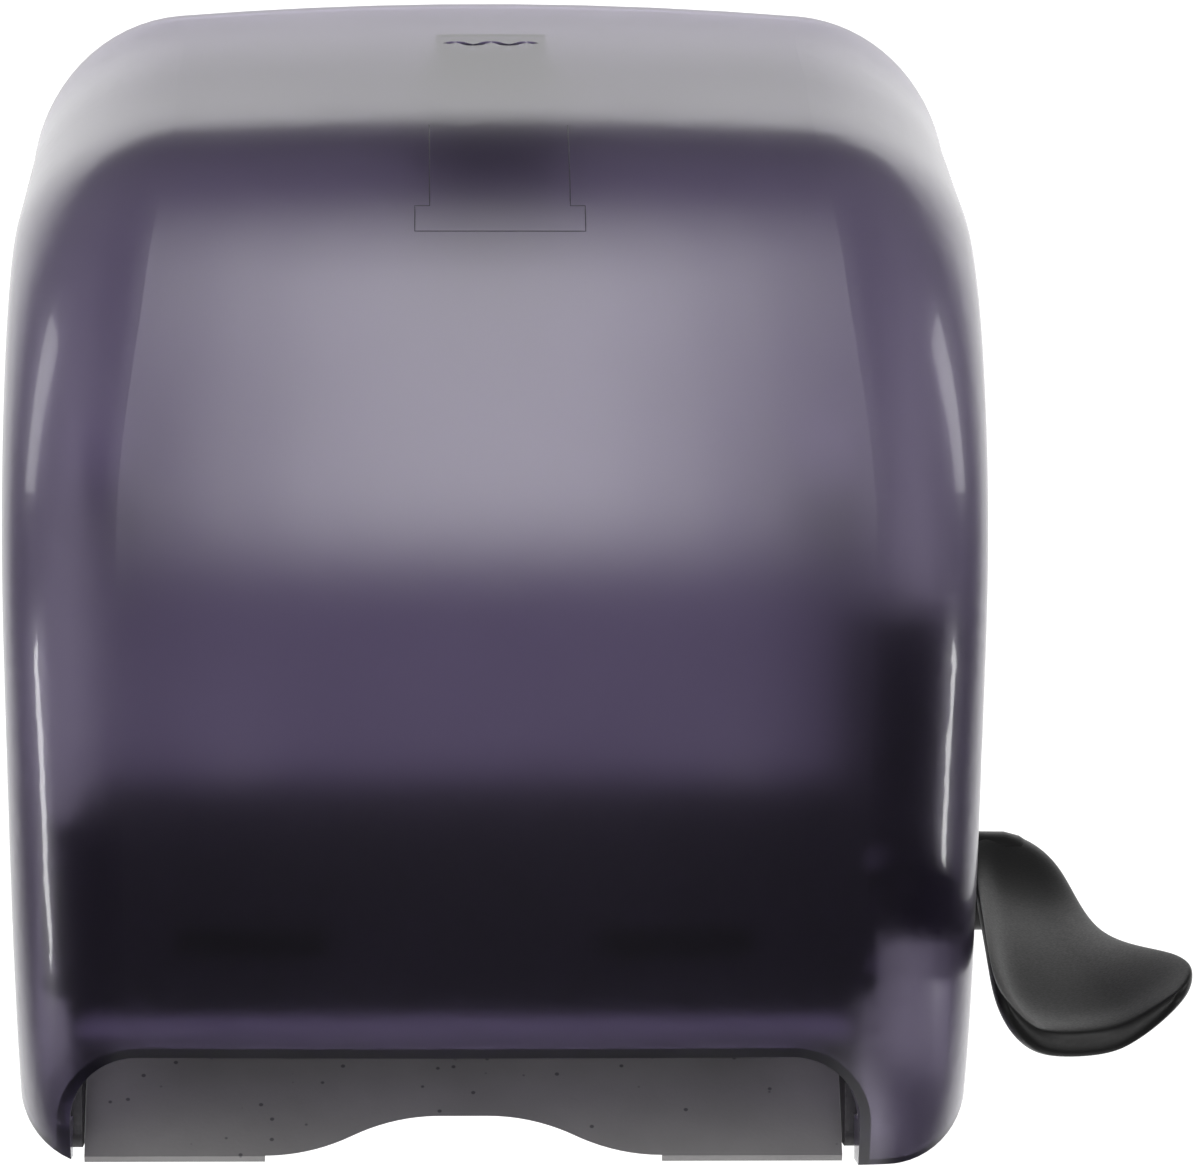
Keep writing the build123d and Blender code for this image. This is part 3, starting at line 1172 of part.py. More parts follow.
def make_latch():
    """Sliding catch under the key slot, with a tooth in front of the cover's hook."""
    half = LATCH_WIDTH / 2
    latch = block((-half, half), (LATCH_BACK, LATCH_FRONT), (LATCH_TOP - LATCH_HEIGHT, LATCH_TOP))
    tooth = (TOOTH_FRONT - TOOTH_WALL, TOOTH_FRONT)
    latch += block((-HOOK_WIDTH / 2, HOOK_WIDTH / 2), tooth, (LATCH_TOP, LATCH_TOP + TOOTH_RISE))
    crest = latch.faces().sort_by(Axis.Z)[-1].edges().sort_by(Axis.Y)[0]
    return chamfer(crest, TOOTH_BEVEL)


def guide_half():
    """Half the width of the latch's guide."""
    return LATCH_WIDTH / 2 + SIDE_FIT + GUIDE_WALL


def make_latch_guide():
    """Channel on the wall panel that the latch slides in."""
    outer = guide_half()
    inner = outer - GUIDE_WALL
    floor = LATCH_TOP - GUIDE_DROP
    guide = block((-outer, outer), (PANEL_WALL, GUIDE_FLOOR_DEPTH), (floor - GUIDE_WALL, floor))
    guide += block((-outer, outer), (PANEL_WALL, LATCH_BACK - SIDE_FIT), (floor, LATCH_TOP))
    for side in (-1, 1):
        x_range = sorted((side * inner, side * outer))
        guide += block(x_range, (PANEL_WALL, GUIDE_FLOOR_DEPTH), (floor, LATCH_TOP))
    return guide


# Screw groups

def screws_into_panel(places):
    seat = PANEL_WALL + FLANGE_WALL
    return [screw_y(x, z, seat, seat - PANEL_SKIN) for x, z in places]


def make_panel_screws():
    length = PANEL_PLATE + FLANGE_WALL
    return [screw_y(x, z, FRONT_PANEL_DEPTH, length) for x, z in panel_screw_places()]


def make_parts():
    drive_fit = (DRIVE_AXIS, DRIVE_SHAFT_RADIUS)
    lever_fit = (LEVER_AXIS, LEVER_SHAFT_RADIUS)
    return {
        "cover": make_cover(),
        "back_panel": make_back_panel(),
        "hinge_pins": make_hinge_pins(),
        "apron": make_apron(),
        "left_cheek": make_cheek(LEFT_IN, LEFT_OUT),
        "right_cheek": make_right_cheek(),
        "tie_bar": make_tie_bar(),
        "front_panel": make_front_panel(),
        "tear_bar": make_tear_bar(),
        "tear_bar_screws": make_tear_bar_screws(),
        "drive_shaft": make_drive_shaft(),
        "drive_core": make_drive_core(),
        "drive_tyres": make_drive_tyres(),
        "drive_bush_left": flanged_bush(*drive_fit, LEFT_OUT, LEFT_IN),
        "drive_bush_right": flanged_bush(*drive_fit, RIGHT_OUT, RIGHT_IN),
        "drive_clip": clip(*drive_fit, *clip_span(GEAR_X + GEAR_WIDTH), 90),
        "pinion": make_pinion(),
        "one_way_clutch": make_one_way_clutch(),
        "pinch_yoke": make_pinch_yoke(),
        "pinch_rod": rod(YOKE_AXIS, PINCH_SHAFT_RADIUS, LEFT_OUT, RIGHT_OUT),
        "pinch_shaft": make_pinch_shaft(),
        "pinch_rolls": make_pinch_rolls(),
        "pinch_springs": make_pinch_springs(),
        "gear_guard": make_gear_guard(),
        "guard_screws": make_guard_screws(),
        "sector_gear": make_sector_gear(),
        "lever_shaft": make_lever_shaft(),
        "lever_bush_inner": flanged_bush(*lever_fit, RIGHT_OUT, RIGHT_IN),
        "lever_bush_outer": flanged_bush(*lever_fit, GUARD_X - GUARD_WALL, GUARD_X),
        "lever_clip": clip(*lever_fit, *lever_clip_span(), -90),
        "lever_spring": make_lever_spring(),
        "lever": make_lever(),
        "lever_screw": make_lever_screw(),
        "right_arm": make_right_arm(),
        "left_arm": make_left_arm(),
        "left_arm_bracket": make_left_arm_bracket(),
        "left_arm_pin": make_left_arm_pin(),
        "left_hub": make_hub(ARM_LEFT, 1),
        "right_hub": make_hub(ARM_RIGHT, -1),
        "left_hub_clip": clip(ROLL_AXIS, HUB_PIN_RADIUS, *hub_clip_span(ARM_LEFT, 1), 90),
        "right_hub_clip": clip(ROLL_AXIS, HUB_PIN_RADIUS, *hub_clip_span(ARM_RIGHT, -1), 90),
        "latch": make_latch(),
        "latch_guide": make_latch_guide(),
        "latch_spring": make_latch_spring(),
        "chassis_screws": screws_into_panel(chassis_screw_places()),
        "arm_screws": screws_into_panel(arm_screw_places()),
        "panel_screws": make_panel_screws(),
    }


def write_parts():
    os.makedirs("parts", exist_ok=True)
    to_mount = Pos(0, 0, -MOUNT_HEIGHT)
    for name, piece in make_parts().items():
        if isinstance(piece, list):
            shape = Compound([to_mount * solid for one in piece for solid in one.solids()])
        else:
            shape = to_mount * piece
        export_step(shape, f"parts/{name}.step")


if __name__ == "__main__":
    write_parts()
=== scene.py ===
# %% [markdown]
# # A lever dispenser for roll towels
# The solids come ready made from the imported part, in metres, with the front facing -Y and the wall at
# y = 0. This lesson dresses them: camera, light, one finish for each material, and the small pieces that a
# solid model leaves plain. Nothing that came with the frame is moved.

# %% Load the frame
import bpy
import bmesh
import json
import math
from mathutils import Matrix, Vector


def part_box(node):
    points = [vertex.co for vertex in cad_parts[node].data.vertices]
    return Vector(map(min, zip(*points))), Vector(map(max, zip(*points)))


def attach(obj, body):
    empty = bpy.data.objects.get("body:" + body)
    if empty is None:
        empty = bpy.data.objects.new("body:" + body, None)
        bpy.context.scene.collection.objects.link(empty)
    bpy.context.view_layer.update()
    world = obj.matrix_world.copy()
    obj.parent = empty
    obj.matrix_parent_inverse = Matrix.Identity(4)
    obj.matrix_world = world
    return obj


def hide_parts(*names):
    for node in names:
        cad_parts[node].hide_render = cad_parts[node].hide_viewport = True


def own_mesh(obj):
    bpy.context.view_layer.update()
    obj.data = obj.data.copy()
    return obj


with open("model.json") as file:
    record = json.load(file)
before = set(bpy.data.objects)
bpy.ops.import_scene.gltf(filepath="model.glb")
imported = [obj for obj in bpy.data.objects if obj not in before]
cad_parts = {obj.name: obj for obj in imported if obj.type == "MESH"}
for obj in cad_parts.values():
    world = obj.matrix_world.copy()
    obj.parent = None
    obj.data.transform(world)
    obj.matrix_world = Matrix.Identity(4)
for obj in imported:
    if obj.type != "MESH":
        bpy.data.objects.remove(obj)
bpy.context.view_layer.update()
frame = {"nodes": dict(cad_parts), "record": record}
nodes = frame["nodes"]

# %% [markdown]
# ## Camera
# The picture was taken almost straight on from about two and a half metres, with a long lens. The place and
# the focal length were fitted to the outline of the cover, so that the towel mouth, the shoulders and the
# lever all land where the picture has them. Aiming a little off the middle gives the picture's framing
# without any lens shift.

# %% Camera
CAMERA_PLACE = (-0.0242, -2.4997, 0.0182)
CAMERA_AIM = (0.0287, -0.190, -0.0224)
FOCAL_LENGTH = 251.0   # millimetres, on a sensor of 36
FAR = 20.0             # metres, past the end of the floor

camera_data = bpy.data.cameras.new("picture_camera")
camera_data.sensor_width = 36.0
camera_data.lens = FOCAL_LENGTH
camera_data.clip_end = FAR
camera = bpy.data.objects.new("picture_camera", camera_data)
camera.location = CAMERA_PLACE
aim = Vector(CAMERA_AIM) - camera.location
camera.rotation_euler = aim.to_track_quat("-Z", "Y").to_euler()
bpy.context.scene.collection.objects.link(camera)
bpy.context.scene.camera = camera
bpy.context.scene.view_settings.view_transform = "Standard"
print("camera", round(aim.length, 3), "m from its aim")

# %% [markdown]
# ## Light
# A glossy cover is lit by what it mirrors, so the world is a small studio that changes with the direction of
# the ray. A pale backdrop stands behind the object; the sloped top and the round flanks mirror it at a
# grazing angle and turn light grey. The room is dim, so that the lower half of the cover stays dark and
# shows what is inside. A soft box in front, narrow and high, puts the broad glow on the belly. A bright
# table straight below lights what looks down. Rays straight from the camera always see white.

# %% World
world = bpy.data.worlds.new("studio")
bpy.context.scene.world = world
world.use_nodes = True
tree = world.node_tree
tree.nodes.clear()
way = tree.nodes.new("ShaderNodeTexCoord")
split = tree.nodes.new("ShaderNodeSeparateXYZ")
tree.links.new(way.outputs["Generated"], split.inputs[0])


def world_math(operation, *values):
    made = tree.nodes.new("ShaderNodeMath")
    made.operation = operation
    for socket, value in zip(made.inputs, values):
        if isinstance(value, float):
            socket.default_value = value
        else:
            tree.links.new(value, socket)
    return made.outputs[0]


def world_fade(value, start, end, low, high):
    """Soft step in one part of the ray's direction, which is 1 long: Y near 1 is straight behind."""
    made = tree.nodes.new("ShaderNodeMapRange")
    made.interpolation_type = "SMOOTHSTEP"
    for name, number in (("From Min", start), ("From Max", end), ("To Min", low), ("To Max", high)):
        made.inputs[name].default_value = number
    tree.links.new(value, made.inputs["Value"])
    return made.outputs["Result"]


ROOM = 0.06        # strength in every direction that has nothing brighter
BACKDROP = 1.15
SOFTBOX = 5.8
TABLE = 1.2
behind = world_fade(split.outputs["Y"], 0.5, 0.85, 0.0, BACKDROP)
backdrop = world_math("MULTIPLY", behind, world_fade(split.outputs["Z"], 0.52, 0.64, 1.0, 0.0))
table = world_fade(split.outputs["Z"], -0.94, -0.80, TABLE, 0.0)
room = world_math("ADD", world_math("ADD", backdrop, table), ROOM)
aside = world_math("ABSOLUTE", split.outputs["X"])
across = world_fade(aside, 0.04, 0.23, SOFTBOX, 0.0)
rising = world_fade(split.outputs["Z"], -0.62, 0.0, 0.0, 1.0)
in_front = world_fade(split.outputs["Y"], -0.55, 0.28, 1.0, 0.0)
softbox = world_math("MULTIPLY", world_math("MULTIPLY", across, rising), in_front)
ray = tree.nodes.new("ShaderNodeLightPath")
seen = world_math("MAXIMUM", ray.outputs["Is Camera Ray"], world_math("ADD", room, softbox))
sky = tree.nodes.new("ShaderNodeBackground")
sky.inputs["Color"].default_value = (1.0, 1.0, 1.0, 1.0)
tree.links.new(seen, sky.inputs["Strength"])
out = tree.nodes.new("ShaderNodeOutputWorld")
tree.links.new(sky.outputs[0], out.inputs["Surface"])
print("world strength: backdrop", BACKDROP, "soft box", SOFTBOX, "table", TABLE, "room", ROOM)

# %% [markdown]
# ### Lamps and floor
# Two large boxes, one overhead and one high in front, give the soft light. They are kept out of mirrors and
# of clear plastic, because their square outlines would show on the cover. At each side, a tall strip and a
# small low one draw the glints down the round flanks. The floor lies well below the part, which hangs on a
# wall. It is kept out of mirrors too, where the table in the world takes its place, and still catches the
# shadow.

# %% Lamps and floor
LAMP_TARGET = (0.0, -0.1, 0.0)   # near the middle of the case
FLOOR_SIZE = 8.0
FLOOR_HEIGHT = -0.62


def soft_lamp(name, place, size, power, mirrored=True):
    """Rectangular lamp that looks at the case; it may be left out of mirrors."""
    data = bpy.data.lights.new(name, "AREA")
    data.shape = "RECTANGLE"
    data.size, data.size_y = size
    data.energy = power
    lamp = bpy.data.objects.new(name, data)
    lamp.location = place
    lamp.visible_glossy = mirrored
    lamp.visible_transmission = mirrored
    lamp.rotation_euler = (Vector(LAMP_TARGET) - Vector(place)).to_track_quat("-Z", "Y").to_euler()
    bpy.context.scene.collection.objects.link(lamp)


soft_lamp("top_box", (0.0, -0.9, 1.6), (1.4, 1.0), 15.0, mirrored=False)
soft_lamp("front_box", (-0.3, -2.6, 0.7), (0.9, 0.7), 18.0, mirrored=False)
for side, name in ((-1, "left"), (1, "right")):
    soft_lamp(name + "_strip", (side * 1.18, 0.0, 0.35), (0.30, 0.60), 2.0)
    soft_lamp(name + "_low_strip", (side * 1.10, -0.06, -0.52), (0.10, 0.16), 0.8)
bpy.ops.mesh.primitive_grid_add(
    x_subdivisions=2, y_subdivisions=2, size=FLOOR_SIZE, location=(0.0, 0.0, FLOOR_HEIGHT)
)
floor = bpy.context.object
floor.name = "floor"
floor_paint = bpy.data.materials.new("floor_paint")
floor_paint.use_nodes = True
floor_shader = floor_paint.node_tree.nodes["Principled BSDF"]
floor_shader.inputs["Base Color"].default_value = (0.9, 0.9, 0.9, 1)
floor_shader.inputs["Roughness"].default_value = 0.9
floor.data.materials.append(floor_paint)
floor.visible_glossy = False
floor.visible_transmission = False

# %% [markdown]
# ## Finishes
# Every finish reads the object's own coordinates, so that grain stays with the piece when it moves. A few
# helpers cover most needs: a noise, a ramp that turns a grey into a colour, a spread that turns it into a
# range of numbers, and a bump. Two recipes use them, for moulded plastic and for metal with marks.

# %% Node helpers
class Finish:
    """A material with its shader at hand, and shortcuts for the nodes that most finishes share."""

    def __init__(self, name):
        self.material = bpy.data.materials.new(name)
        self.material.use_nodes = True
        self.tree = self.material.node_tree
        self.shader = self.tree.nodes["Principled BSDF"]
        self.coords = self.tree.nodes.new("ShaderNodeTexCoord").outputs["Object"]

    def node(self, kind, **values):
        made = self.tree.nodes.new(kind)
        for name, value in values.items():
            setattr(made, name, value)
        return made

    def link(self, out_socket, in_socket):
        self.tree.links.new(out_socket, in_socket)

    def stretch(self, scale):
        place = self.node("ShaderNodeMapping")
        place.inputs["Scale"].default_value = scale
        self.link(self.coords, place.inputs["Vector"])
        return place.outputs[0]

    def noise(self, scale, detail=3.0, coords=None):
        made = self.node("ShaderNodeTexNoise")
        made.inputs["Scale"].default_value = scale
        made.inputs["Detail"].default_value = detail
        self.link(coords or self.coords, made.inputs["Vector"])
        return made.outputs["Fac"]

    def ramp(self, grey, stops):
        made = self.node("ShaderNodeValToRGB")
        band = made.color_ramp
        while len(band.elements) < len(stops):
            band.elements.new(0.5)
        for element, (place, colour) in zip(band.elements, stops):
            element.position = place
            element.color = (*colour, 1.0)
        self.link(grey, made.inputs[0])
        return made.outputs[0]

    def spread(self, grey, low, high, start=0.3, end=0.7):
        made = self.node("ShaderNodeMapRange")
        for name, value in (("From Min", start), ("From Max", end), ("To Min", low), ("To Max", high)):
            made.inputs[name].default_value = value
        self.link(grey, made.inputs["Value"])
        return made.outputs[0]

    def bump(self, height, depth, strength=1.0):
        made = self.node("ShaderNodeBump")
        made.inputs["Strength"].default_value = strength
        made.inputs["Distance"].default_value = depth
        self.link(height, made.inputs["Height"])
        self.link(made.outputs[0], self.shader.inputs["Normal"])

    def set(self, **values):
        for name, value in values.items():
            self.shader.inputs[name.replace("_", " ")].default_value = value


def moulded(name, dark, light, roughness, grain, depth):
    """Moulded plastic: a slow drift of colour, and a fine spark-eroded grain in roughness and bump."""
    finish = Finish(name)
    drift = finish.noise(22)
    finish.link(finish.ramp(drift, ((0.3, dark), (0.7, light))), finish.shader.inputs["Base Color"])
    fine = finish.noise(grain, 2.0)
    finish.link(finish.spread(fine, *roughness), finish.shader.inputs["Roughness"])
    finish.bump(fine, depth)
    return finish


def drawn_metal(name, dark, light, roughness, scale, depth=0.00003):
    """Metal with fine marks along one direction: the scale is small along the marks."""
    finish = Finish(name)
    marks = finish.noise(1.0, 4.0, finish.stretch(scale))
    finish.set(Metallic=1.0)
    finish.link(finish.ramp(marks, ((0.3, dark), (0.7, light))), finish.shader.inputs["Base Color"])
    finish.link(finish.spread(marks, *roughness), finish.shader.inputs["Roughness"])
    finish.bump(marks, depth)
    return finish


print("helpers ready")

# %% [markdown]
# ### Smoke-coloured cover
# The real cover is clear plastic with a smoke tint, polished outside and etched inside. Things close behind
# it show as soft shapes, things far behind it melt into light and dark. Rough glass does that. Part of the
# tint lies in the surface and part in the depth of the plastic, so that thick edges look darker. A mix with
# a tinted transparent shader for shadow rays lets the lamps reach the inside, as they do through thin
# plastic, without waiting for rays to find a lamp by chance.

# %% Cover finish
smoke = Finish("cover_smoke")
drift = smoke.noise(9.0)
smoke_tint = smoke.ramp(drift, ((0.3, (0.322, 0.288, 0.380)), (0.7, (0.360, 0.326, 0.418))))
smoke.link(smoke_tint, smoke.shader.inputs["Base Color"])
smoke.set(Transmission_Weight=1.0, Roughness=0.29, IOR=1.46)
smoke.set(Coat_Weight=0.45, Coat_Roughness=0.06, Coat_IOR=1.45)
orange_peel = smoke.noise(160.0, 2.0)
smoke.bump(orange_peel, 0.00003, 0.1)
lamp_tint = smoke.node("ShaderNodeBsdfTransparent")
lamp_tint.inputs["Color"].default_value = (0.82, 0.80, 0.85, 1.0)
lamp_rays = smoke.node("ShaderNodeLightPath")
through = smoke.node("ShaderNodeMixShader")
smoke.link(lamp_rays.outputs["Is Shadow Ray"], through.inputs[0])
smoke.link(smoke.shader.outputs[0], through.inputs[1])
smoke.link(lamp_tint.outputs[0], through.inputs[2])
smoke.link(through.outputs[0], smoke.tree.nodes["Material Output"].inputs["Surface"])
tint = smoke.node("ShaderNodeVolumeAbsorption")
tint.inputs["Color"].default_value = (0.36, 0.30, 0.50, 1.0)
tint.inputs["Density"].default_value = 150.0
smoke.link(tint.outputs[0], smoke.tree.nodes["Material Output"].inputs["Volume"])
print("cover finish", smoke.material.name)

# %% [markdown]
# ### Plain plastics, rubber and nylon
# The wall panel is pale grey, the feed unit black with a dry moulded grain, the lever black and satin, the
# gears ivory nylon and the roller bands soft rubber, ground so that they look dull. One flat colour each
# would look like paint. The recipe for mouldings gives them a slow drift and a fine grain, and only its
# numbers change.

# %% Plastics
panel_grey = moulded(
    "panel_grey", (0.60, 0.59, 0.61), (0.68, 0.67, 0.69),
    roughness=(0.45, 0.6), grain=900.0, depth=0.00004,
)
chassis_black = moulded(
    "chassis_black", (0.012, 0.011, 0.013), (0.022, 0.020, 0.024),
    roughness=(0.42, 0.58), grain=1100.0, depth=0.00005,
)
lever_black = moulded(
    "lever_black", (0.005, 0.005, 0.005), (0.009, 0.009, 0.009),
    roughness=(0.36, 0.46), grain=1300.0, depth=0.00003,
)
lever_black.set(Specular_IOR_Level=0.2)
gear_nylon = moulded(
    "gear_nylon", (0.62, 0.59, 0.52), (0.72, 0.69, 0.62),
    roughness=(0.35, 0.5), grain=700.0, depth=0.00003,
)
roller_rubber = moulded(
    "roller_rubber", (0.020, 0.020, 0.021), (0.035, 0.034, 0.036),
    roughness=(0.75, 0.92), grain=1600.0, depth=0.00012,
)
plastics = (panel_grey, chassis_black, lever_black, gear_nylon, roller_rubber)
print("plastics", [finish.material.name for finish in plastics])

# %% [markdown]
# ### Speckled apron
# The sheet behind the mouth is grey plastic with dark flecks stirred in, about a millimetre across and a
# few millimetres apart. A cell pattern gives each fleck its own place; only cells whose own random value is
# high get a fleck, so that they look scattered and not gridded.

# %% Apron finish
speckle = Finish("apron_speckled")
cells = speckle.node("ShaderNodeTexVoronoi")
cells.inputs["Scale"].default_value = 210.0
speckle.link(speckle.coords, cells.inputs["Vector"])
fleck = speckle.spread(cells.outputs["Distance"], 1.0, 0.0, 0.10, 0.16)
lot = speckle.node("ShaderNodeSeparateColor")
speckle.link(cells.outputs["Color"], lot.inputs[0])
chosen = speckle.node("ShaderNodeMath", operation="GREATER_THAN")
chosen.inputs[1].default_value = 0.6
speckle.link(lot.outputs[0], chosen.inputs[0])
shown = speckle.node("ShaderNodeMath", operation="MULTIPLY")
speckle.link(fleck, shown.inputs[0])
speckle.link(chosen.outputs[0], shown.inputs[1])
ground = speckle.ramp(speckle.noise(30.0), ((0.3, (0.20, 0.195, 0.195)), (0.7, (0.24, 0.235, 0.235))))
paint = speckle.node("ShaderNodeMix", data_type="RGBA")
speckle.link(shown.outputs[0], paint.inputs["Factor"])
speckle.link(ground, paint.inputs["A"])
paint.inputs["B"].default_value = (0.07, 0.07, 0.075, 1.0)
speckle.link(paint.outputs["Result"], speckle.shader.inputs["Base Color"])
fine = speckle.noise(900.0, 2.0)
speckle.link(speckle.spread(fine, 0.4, 0.55), speckle.shader.inputs["Roughness"])
speckle.bump(fine, 0.00004)
print("apron finish", speckle.material.name)

# %% [markdown]
# ### Metals
# The tear bar is rolled strip with marks along its length, shafts and pins are turned, so that their marks
# run round them, and screws and springs are plated. The noise is stretched along the marks by a small scale
# in that direction. On screws and springs the scale is the same every way, which gives a fine grain.

# %% Metal finishes
blade_steel = drawn_metal(
    "blade_steel", (0.52, 0.52, 0.53), (0.66, 0.66, 0.67), roughness=(0.22, 0.36), scale=(40, 2500, 2500)
)
shaft_steel = drawn_metal(
    "shaft_steel", (0.42, 0.42, 0.43), (0.58, 0.58, 0.59), roughness=(0.24, 0.38), scale=(3000, 60, 60)
)
screw_steel = drawn_metal(
    "screw_steel", (0.20, 0.20, 0.20), (0.30, 0.30, 0.29), roughness=(0.3, 0.45), scale=(700, 700, 700)
)
spring_steel = drawn_metal(
    "spring_steel", (0.30, 0.30, 0.31), (0.44, 0.44, 0.45), roughness=(0.28, 0.4), scale=(900, 900, 900)
)
metals = (blade_steel, shaft_steel, screw_steel, spring_steel)
print("metals", [finish.material.name for finish in metals])

# %% [markdown]
# ## Finishes on the solids
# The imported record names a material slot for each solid. Reading it here keeps the picture and the record
# in step, with one finish for each slot.

# %% Paint the CAD nodes
finishes = {
    "cover_smoke": smoke, "panel_grey": panel_grey, "apron_speckled": speckle, "lever_black": lever_black,
    "chassis_black": chassis_black, "blade_steel": blade_steel, "shaft_steel": shaft_steel,
    "screw_steel": screw_steel, "spring_steel": spring_steel, "roller_rubber": roller_rubber,
    "gear_nylon": gear_nylon,
}
for part in frame["record"]["subparts"]:
    solid = nodes[part["node"]]
    finish = finishes[part["material_slot"]]
    for place in solid.material_slots:
        place.link = "OBJECT"
        place.material = finish.material
    if not solid.material_slots:
        solid.data.materials.append(finish.material)
print("painted", len(nodes), "solids with", len(finishes), "finishes")

# %% [markdown]
# ## Lever
# The solid lever has the right axis, reach and width, but joins its hub and its blade with a hard step. The
# real one is one soft moulding with a thick rounded lip, so these pieces take its place. Remeshing the solid
# would keep the step and roughen the thin edges, so the blade is built anew, as a run of rings from the hub
# to the lip. Each ring is a rounded slot bent along a curve through three points: the inner edge, the bottom
# of the scoop and the outer edge. A subdivision surface draws the rings into one smooth skin. The hub is
# turned on the lever's axis, with the bores for the shaft and for the screw's head.

# %% Lever
MM = 0.001
LEVER_INNER = 140.5            # inner face of the hub, from the frame's middle, in millimetres
LEVER_AXIS = (-48.0, -112.0)   # depth and height of the shaft
HUB_OUTLINE = (
    # along the shaft, radius
    (0.0, 6.15), (0.0, 14.0), (0.6, 14.5), (10.0, 14.4), (14.5, 13.2), (17.5, 11.2), (19.4, 8.6),
    (19.8, 7.0), (19.4, 5.75), (11.4, 5.75), (11.4, 2.1), (8.4, 2.1), (8.4, 6.15),
)
BLADE = (
    # depth, inner edge, bottom of the scoop, outer edge, wall
    (-34.0, (142.0, -101.5), (149.0, -101.0), (156.0, -103.0), 3.0),
    (-42.0, (141.4, -98.0), (149.5, -97.3), (159.0, -100.4), 6.5),
    (-53.0, (141.0, -98.2), (151.0, -98.4), (163.5, -102.6), 8.0),
    (-62.0, (140.6, -101.0), (152.0, -104.4), (167.4, -106.4), 10.5),
    (-84.0, (140.0, -109.0), (152.4, -116.6), (170.4, -114.4), 10.5),
    (-118.0, (139.2, -115.6), (151.6, -124.8), (173.6, -120.8), 9.5),
    (-146.0, (138.6, -121.4), (152.2, -133.6), (181.6, -122.6), 9.0),
    (-166.0, (138.2, -125.6), (154.0, -140.6), (190.8, -122.8), 9.0),
    (-181.0, (138.0, -128.2), (157.0, -145.2), (194.0, -125.0), 8.8),
    (-190.0, (138.2, -130.6), (159.0, -146.6), (193.0, -128.0), 8.4),
    (-195.5, (139.2, -133.4), (160.2, -147.6), (190.2, -131.4), 7.4),
    (-197.5, (141.2, -136.0), (161.0, -148.8), (187.2, -134.2), 5.0),
)
RING_STEPS = 28
SKIN_LEVELS = 3
SLOT_ROUND = 0.5               # under 1, a ring is a rounded slot and not an oval
HUB_STEPS = 96
HUB_EDGE = 0.5


def through(first, middle, last, share):
    """Point at a share of the way along the curve through three points."""
    weights = (2 * (share - 0.5) * (share - 1), 4 * share * (1 - share), 2 * share * (share - 0.5))
    return [sum(w * point[axis] for w, point in zip(weights, (first, middle, last))) for axis in (0, 1)]


def bridge(mesh, first, second):
    """Band of faces between two rings of as many points."""
    for index in range(len(first)):
        after = (index + 1) % len(first)
        mesh.faces.new((first[index], first[after], second[after], second[index]))


def lay_blade(mesh):
    rings = []
    for depth, inner, middle, outer, wall in BLADE:
        ring = []
        for step in range(RING_STEPS):
            turn = 2 * math.pi * (step + 0.5) / RING_STEPS
            across = math.copysign(abs(math.cos(turn)) ** SLOT_ROUND, math.cos(turn))
            up = math.copysign(abs(math.sin(turn)) ** SLOT_ROUND, math.sin(turn))
            x, z = through(inner, middle, outer, (1 - across) / 2)
            ring.append(mesh.verts.new((x * MM, depth * MM, (z + (up - 1) * wall / 2) * MM)))
        rings.append(ring)
    for first, second in zip(rings, rings[1:]):
        bridge(mesh, first, second)
    for ring in (rings[0], rings[-1]):
        half = RING_STEPS // 2
        for index in range(half - 1):
            low = RING_STEPS - 1 - index
            mesh.faces.new((ring[index], ring[index + 1], ring[low - 1], ring[low]))


def lay_hub(mesh):
    rings = []
    for along, radius in HUB_OUTLINE:
        ring = []
        for step in range(HUB_STEPS):
            turn = 2 * math.pi * step / HUB_STEPS
            depth = LEVER_AXIS[0] + radius * math.cos(turn)
            height = LEVER_AXIS[1] + radius * math.sin(turn)
            ring.append(mesh.verts.new(((LEVER_INNER + along) * MM, depth * MM, height * MM)))
        rings.append(ring)
    for first, second in zip(rings, rings[1:] + rings[:1]):
        bridge(mesh, first, second)


def mesh_piece(name, lay):
    """New object at the origin, with the faces that one function lays."""
    mesh = bmesh.new()
    lay(mesh)
    bmesh.ops.recalc_face_normals(mesh, faces=mesh.faces)
    data = bpy.data.meshes.new(name)
    mesh.to_mesh(data)
    mesh.free()
    piece = bpy.data.objects.new(name, data)
    bpy.context.scene.collection.objects.link(piece)
    return piece


def settle(piece, finish, smooth=True):
    """Turn the piece and its modifiers into one plain mesh with one finish."""
    seen = piece.evaluated_get(bpy.context.evaluated_depsgraph_get())
    plain = bpy.data.meshes.new_from_object(seen)
    piece.modifiers.clear()
    piece.data = plain
    plain.polygons.foreach_set("use_smooth", [smooth] * len(plain.polygons))
    plain.materials.clear()
    plain.materials.append(finish.material)


blade = mesh_piece("lever_blade", lay_blade)
skin = blade.modifiers.new("skin", "SUBSURF")
skin.levels = SKIN_LEVELS
skin.render_levels = SKIN_LEVELS
hub = mesh_piece("lever_hub", lay_hub)
edge = hub.modifiers.new("edge", "BEVEL")
edge.width = HUB_EDGE * MM
edge.segments = 3
edge.limit_method = "ANGLE"
for piece in (blade, hub):
    settle(piece, lever_black)
    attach(piece, "lever")
    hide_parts("lever")
print("lever", len(blade.data.polygons), "faces in the blade,", len(hub.data.polygons), "in the hub")

# %% [markdown]
# ## Screws
# The solid screws mark where each screw sits, which way its head looks and how long it is, but their heads
# are plain. A node tree puts a screw with a cross recess on each point that it is given, turned by a seeded
# random angle, as screws end up when they are driven home. Its inputs are the screw's sizes, so that one tree
# serves every group.

